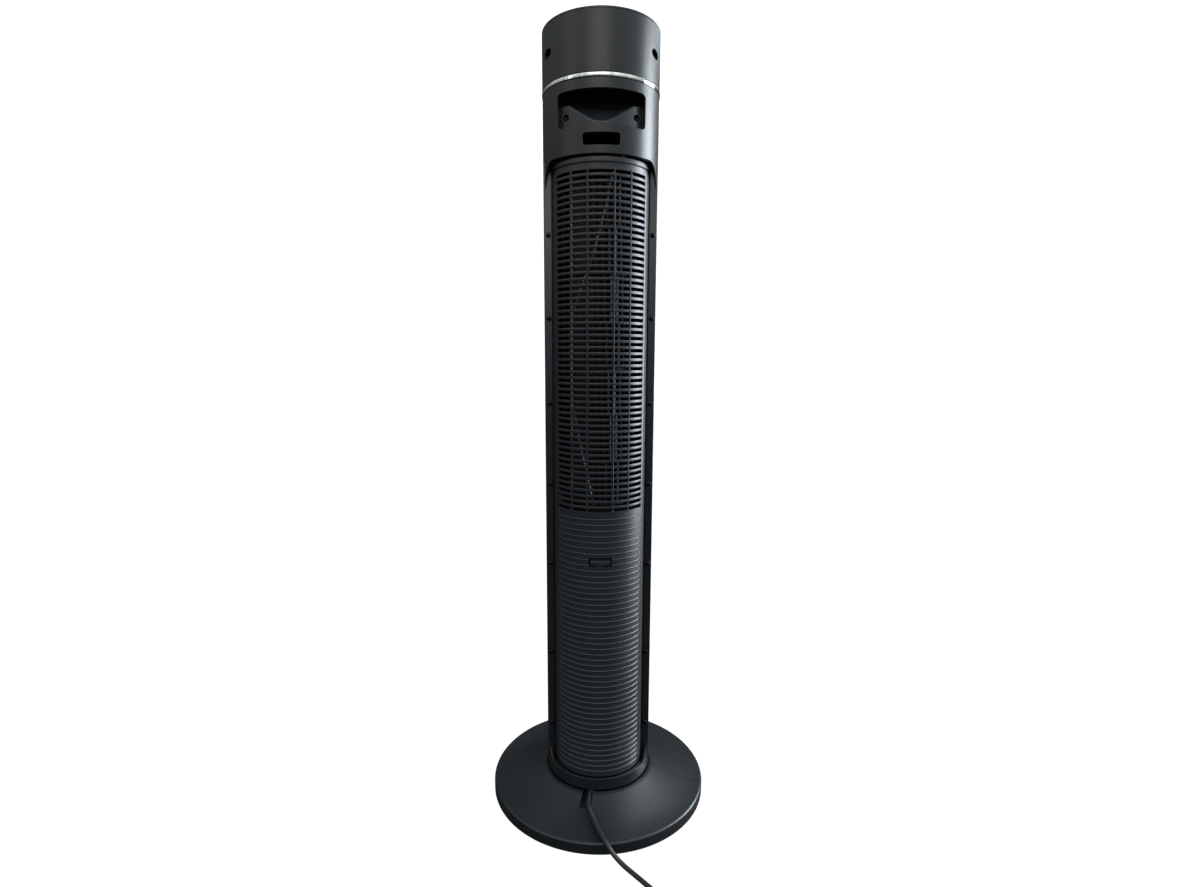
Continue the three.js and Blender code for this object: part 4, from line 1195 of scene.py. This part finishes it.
HARNESS = [[8, 52, 425], [14, 56.5, 455], [24, 55.5, 500], [33, 51, 550], [37, 48.5, 600],
           [37.5, 48.5, 635],
           [36.3, 49.3, 656], [31.5, 52.8, 675], [25.5, 56, 694], [16, 59.5, 721], [8.7, 61, 741],
           [0, 61.5, 772],
           [-7, 61, 800], [-13, 60.3, 828], [-28, 53, 853], [-33, 40, 862], [-33, 24, 869],
           [-30, 14, 885],
           [-26, 8, 930], [-24, 0, 978]]


def make_harness():
    """The motor's leads: three insulated strands twisted gently along one line."""
    path, up = even_path(smooth_path(HARNESS, 8), 4.0), (0.3, 1, 0.1)
    _, side, over = path_frames(path, up)
    turn = np.arange(len(path)) * 0.22
    work = Work()
    for k in range(3):
        a = (turn + k * 2 * math.pi / 3)[:, None]
        work.put(tube(path + 0.8 * (np.cos(a) * side + np.sin(a) * over), 0.66, 8, up))
    # the leads' slot is rubber; their look is a light grey that paints the glints along the wires
    piece("motor_leads", work, "rubber", "column", "wire_harness", look="lead_grey_painted_glint")


KEPT = {
    "dark_black": ["turntable_base", "bottom_deck", "air_guide", "slide_ring"],
    "steel": ["base_screw_front", "base_screw_rear", "pivot_retainer", "oscillation_motor",
              "fan_motor",
              "motor_bracket", "bearing_bush", "drive_shaft", "top_journal"],
    "acetal": ["fixed_gear_sector", "drive_pinion"],
    "circuit_board": ["control_board"],
}


def dress_frame():
    """Gives the frame's own inner pieces their finishes."""
    for finish, nodes in KEPT.items():
        for node in nodes:
            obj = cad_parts[node]
            obj.data.materials.clear()
            obj.data.materials.append(FINISHES[finish])


# ---- stage --------------------------------------------------------------------------------
def make_camera():
    """Camera behind the fan, a little above its middle, tipped down, its picture shifted up a
    trace."""
    data = bpy.data.cameras.new("camera")
    data.sensor_width = 36
    data.lens = 19.73
    data.shift_y = 0.00925
    data.clip_start, data.clip_end = 0.02, 50
    camera = bpy.data.objects.new("camera", data)
    spot, tip, roll = (0.0113, 0.8689, 0.6207), math.radians(81.0), 0.0022
    turn = Matrix.Rotation(math.pi, 4, "Z") @ Matrix.Rotation(tip, 4, "X")
    camera.matrix_world = Matrix.Translation(spot) @ turn @ Matrix.Rotation(roll, 4, "Z")
    bpy.context.scene.collection.objects.link(camera)
    bpy.context.scene.camera = camera


def soft_light(name, at, aim, size, power, colour=(1, 1, 1)):
    data = bpy.data.lights.new(name, "AREA")
    data.shape = "RECTANGLE"
    data.size, data.size_y = size
    data.energy = power
    data.color = colour
    lamp = bpy.data.objects.new(name, data)
    lamp.location = at
    way = Matrix.Translation(aim).translation - Matrix.Translation(at).translation
    lamp.rotation_euler = way.to_track_quat("-Z", "Y").to_euler()
    bpy.context.scene.collection.objects.link(lamp)


def make_stage(colours):
    """A pale floor that glows only to the camera, a surround that is dark at the horizon, and soft
    lights."""
    mesh = bpy.data.meshes.new("floor")
    mesh.from_pydata([(-9, -9, 0), (9, -9, 0), (9, 9, 0), (-9, 9, 0)], [], [(0, 1, 2, 3)])
    floor = bpy.data.objects.new("floor", mesh)
    material, place, shader = new_material("studio_floor", colours.floor, 0.8, specular=0.1)
    link(place.noise(3.0, 2.0).mixed(shade(colours.floor, 0.985), shade(colours.floor, 1.0)),
         shader, "Base Color")
    tree = material.node_tree
    seen = Value(tree, tree.nodes.new("ShaderNodeLightPath").outputs["Is Camera Ray"])
    link(seen.mixed((0, 0, 0), (1, 1, 1)), shader, "Emission Color")
    shader.inputs["Emission Strength"].default_value = 1.0
    mesh.materials.append(material)
    bpy.context.scene.collection.objects.link(floor)
    world = bpy.data.worlds.new("studio")
    bpy.context.scene.world = world
    world.use_nodes = True
    tree = world.node_tree
    sky = tree.nodes["Background"]
    sky.inputs["Color"].default_value = (0.92, 0.97, 1, 1)
    way = tree.nodes.new("ShaderNodeSeparateXYZ")
    tree.links.new(tree.nodes.new("ShaderNodeTexCoord").outputs["Generated"], way.inputs[0])
    above = (Value(tree, way.outputs["Z"]) * 2.0 - 0.08).clamped()
    behind = (Value(tree, way.outputs["Y"]) * 0.55 + 0.56).clamped()
    seen = Value(tree, tree.nodes.new("ShaderNodeLightPath").outputs["Is Camera Ray"])
    tree.links.new((0.03 + above * behind * 1.25 + seen * 1.2).socket, sky.inputs["Strength"])
    soft_light("key", (-1.6, -0.35, 0.8), (0, 0, 0.5), (0.7, 1.5), 62, (0.86, 0.94, 1))
    soft_light("back", (0.15, 2.4, 2.15), (0, 0, 0.95), (1.5, 0.5), 8, (1, 0.95, 0.9))
    soft_light("fill", (1.7, 1.0, 1.3), (0, 0, 0.5), (0.5, 1.4), 1.5)
    soft_light("top", (-0.9, -0.9, 1.9), (0, 0.05, 0), (0.9, 0.9), 7, (0.8, 0.92, 1))
    bpy.context.scene.view_settings.view_transform = "Standard"


# ---- add-on -------------------------------------------------------------------------------
def size_property(name, description, default):
    return bpy.props.FloatProperty(name=name, description=description, unit="LENGTH", min=0,
                                   precision=5,
                                   default=default * MM)


def colour_property(name, description, default):
    return bpy.props.FloatVectorProperty(name=name, description=description, subtype="COLOR",
                                         size=3, min=0, max=1,
                                         default=default)


class FanSizes(bpy.types.PropertyGroup):
    seam: size_property("Base seam", "Gap between the two halves of the base", 1.2)
    ridge: size_property("Ridge", "Height of the ridges across the lower part of the rear grille",
                         0.95)
    edge: size_property("Edge", "Rounding of the casings' edges", 0.5)
    cord: size_property("Lead radius", "Radius of the mains lead", 3.0)
    ring_edge: size_property("Ring edge", "Rounding of the bright ring's rims", 1.2)
    screw_recess: size_property("Screw recess", "Reach of the cross cut into each screw head", 1.9)


class FanColours(bpy.types.PropertyGroup):
    shell: colour_property("Shell", "Satin black casing", (0.010, 0.0125, 0.0145))
    # painted light: a lighter black than the casing's, standing in for light on the grille's bars
    grille: colour_property("Rear grille", "Satin black, a shade lighter than the casing",
                            (0.019, 0.022, 0.026))
    # partly painted shade: darker than the casing, so the works seen through the slots read as
    # shaded
    inner: colour_property("Inner parts", "Matt black plastic", (0.0045, 0.0055, 0.0065))
    # painted light: lighter than the matt inner parts, standing in for light on the recess's scoop
    recess: colour_property("Recess", "Dark plastic of the carrying recess", (0.017, 0.020, 0.023))
    # partly painted glint: the grey's lightness stands in for glints along the motor leads
    wires: colour_property("Motor leads", "Insulation of the motor leads", (0.09, 0.094, 0.10))
    chrome: colour_property("Bright ring", "Plated trim", (0.78, 0.79, 0.81))
    steel: colour_property("Steel", "Zinc-plated inner parts and blades", (0.45, 0.46, 0.48))
    black_steel: colour_property("Black steel", "Blackened screws", (0.03, 0.031, 0.034))
    rubber: colour_property("Rubber", "Feet and lead", (0.014, 0.014, 0.015))
    acetal: colour_property("Acetal", "Gears of the swing drive", (0.70, 0.69, 0.66))
    window: colour_property("Window", "Tinted display window", (0.008, 0.009, 0.012))
    board: colour_property("Board", "Solder mask", (0.03, 0.13, 0.06))
    print: colour_property("Key print", "Marks on the keys", (0.62, 0.63, 0.64))
    floor: colour_property("Floor", "Studio floor", (0.05, 0.05, 0.05))


class FanOperator:
    bl_options = {"REGISTER", "UNDO"}

    def execute(self, context):
        self.make(context.scene.fan_colours, context.scene.fan_sizes)
        return {"FINISHED"}


class FAN_OT_camera(FanOperator, bpy.types.Operator):
    """Set up the camera"""
    bl_idname = "fan.camera"
    bl_label = "Camera"

    def make(self, colours, sizes):
        make_finishes(colours)
        make_camera()


class FAN_OT_lead(FanOperator, bpy.types.Operator):
    """Build the mains lead with its plug, tie and strain relief"""
    bl_idname = "fan.lead"
    bl_label = "Mains lead"

    def make(self, colours, sizes):
        make_cord(sizes)


class FAN_OT_base(FanOperator, bpy.types.Operator):
    """Build the two base halves and the feet"""
    bl_idname = "fan.base"
    bl_label = "Base"

    def make(self, colours, sizes):
        make_base(sizes)
        make_feet()


class FAN_OT_casing(FanOperator, bpy.types.Operator):
    """Build the front and rear casings and the carrying recess"""
    bl_idname = "fan.casing"
    bl_label = "Casings"

    def make(self, colours, sizes):
        make_front_shell(sizes)
        make_rear_housing(sizes)
        make_handle()


class FAN_OT_grilles(FanOperator, bpy.types.Operator):
    """Build the intake and outlet grilles"""
    bl_idname = "fan.grilles"
    bl_label = "Grilles"

    def make(self, colours, sizes):
        make_grille(sizes)
        make_outlet_grille()


class FAN_OT_head(FanOperator, bpy.types.Operator):
    """Build the head, the bright ring, the control panel and its keys"""
    bl_idname = "fan.head"
    bl_label = "Head and controls"

    def make(self, colours, sizes):
        make_head(sizes)
        make_top_panel()
        make_buttons()


class FAN_OT_screws(FanOperator, bpy.types.Operator):
    """Build the visible screws"""
    bl_idname = "fan.screws"
    bl_label = "Screws"

    def make(self, colours, sizes):
        make_screws(sizes)


class FAN_OT_works(FanOperator, bpy.types.Operator):
    """Build the impeller and the wiring, and finish the inner parts"""
    bl_idname = "fan.works"
    bl_label = "Air mover and wiring"

    def make(self, colours, sizes):
        make_impeller()
        make_harness()
        dress_frame()


class FAN_OT_stage(FanOperator, bpy.types.Operator):
    """Build the floor, the surround and the lights"""
    bl_idname = "fan.stage"
    bl_label = "Stage"

    def make(self, colours, sizes):
        make_stage(colours)


OPERATORS = [FAN_OT_camera, FAN_OT_lead, FAN_OT_base, FAN_OT_casing, FAN_OT_grilles, FAN_OT_head,
             FAN_OT_screws,
             FAN_OT_works, FAN_OT_stage]


class FAN_PT_panel(bpy.types.Panel):
    """Lists the operators in the order in which they are run"""
    bl_label = "Tower fan"
    bl_space_type = "VIEW_3D"
    bl_region_type = "UI"
    bl_category = "Tower fan"

    def draw(self, context):
        for operator in OPERATORS:
            self.layout.operator(operator.bl_idname)
        for name in FanSizes.__annotations__:
            self.layout.prop(context.scene.fan_sizes, name)
        for name in FanColours.__annotations__:
            self.layout.prop(context.scene.fan_colours, name)


def register():
    for item in (FanSizes, FanColours, *OPERATORS, FAN_PT_panel):
        bpy.utils.register_class(item)
    bpy.types.Scene.fan_sizes = bpy.props.PointerProperty(type=FanSizes)
    bpy.types.Scene.fan_colours = bpy.props.PointerProperty(type=FanColours)


def unregister():
    del bpy.types.Scene.fan_colours
    del bpy.types.Scene.fan_sizes
    for item in (FAN_PT_panel, *reversed(OPERATORS), FanColours, FanSizes):
        bpy.utils.unregister_class(item)


def main():
    register()
    for operator in OPERATORS:
        group, name = operator.bl_idname.split(".")
        getattr(getattr(bpy.ops, group), name)()


if __name__ == "__main__":
    main()
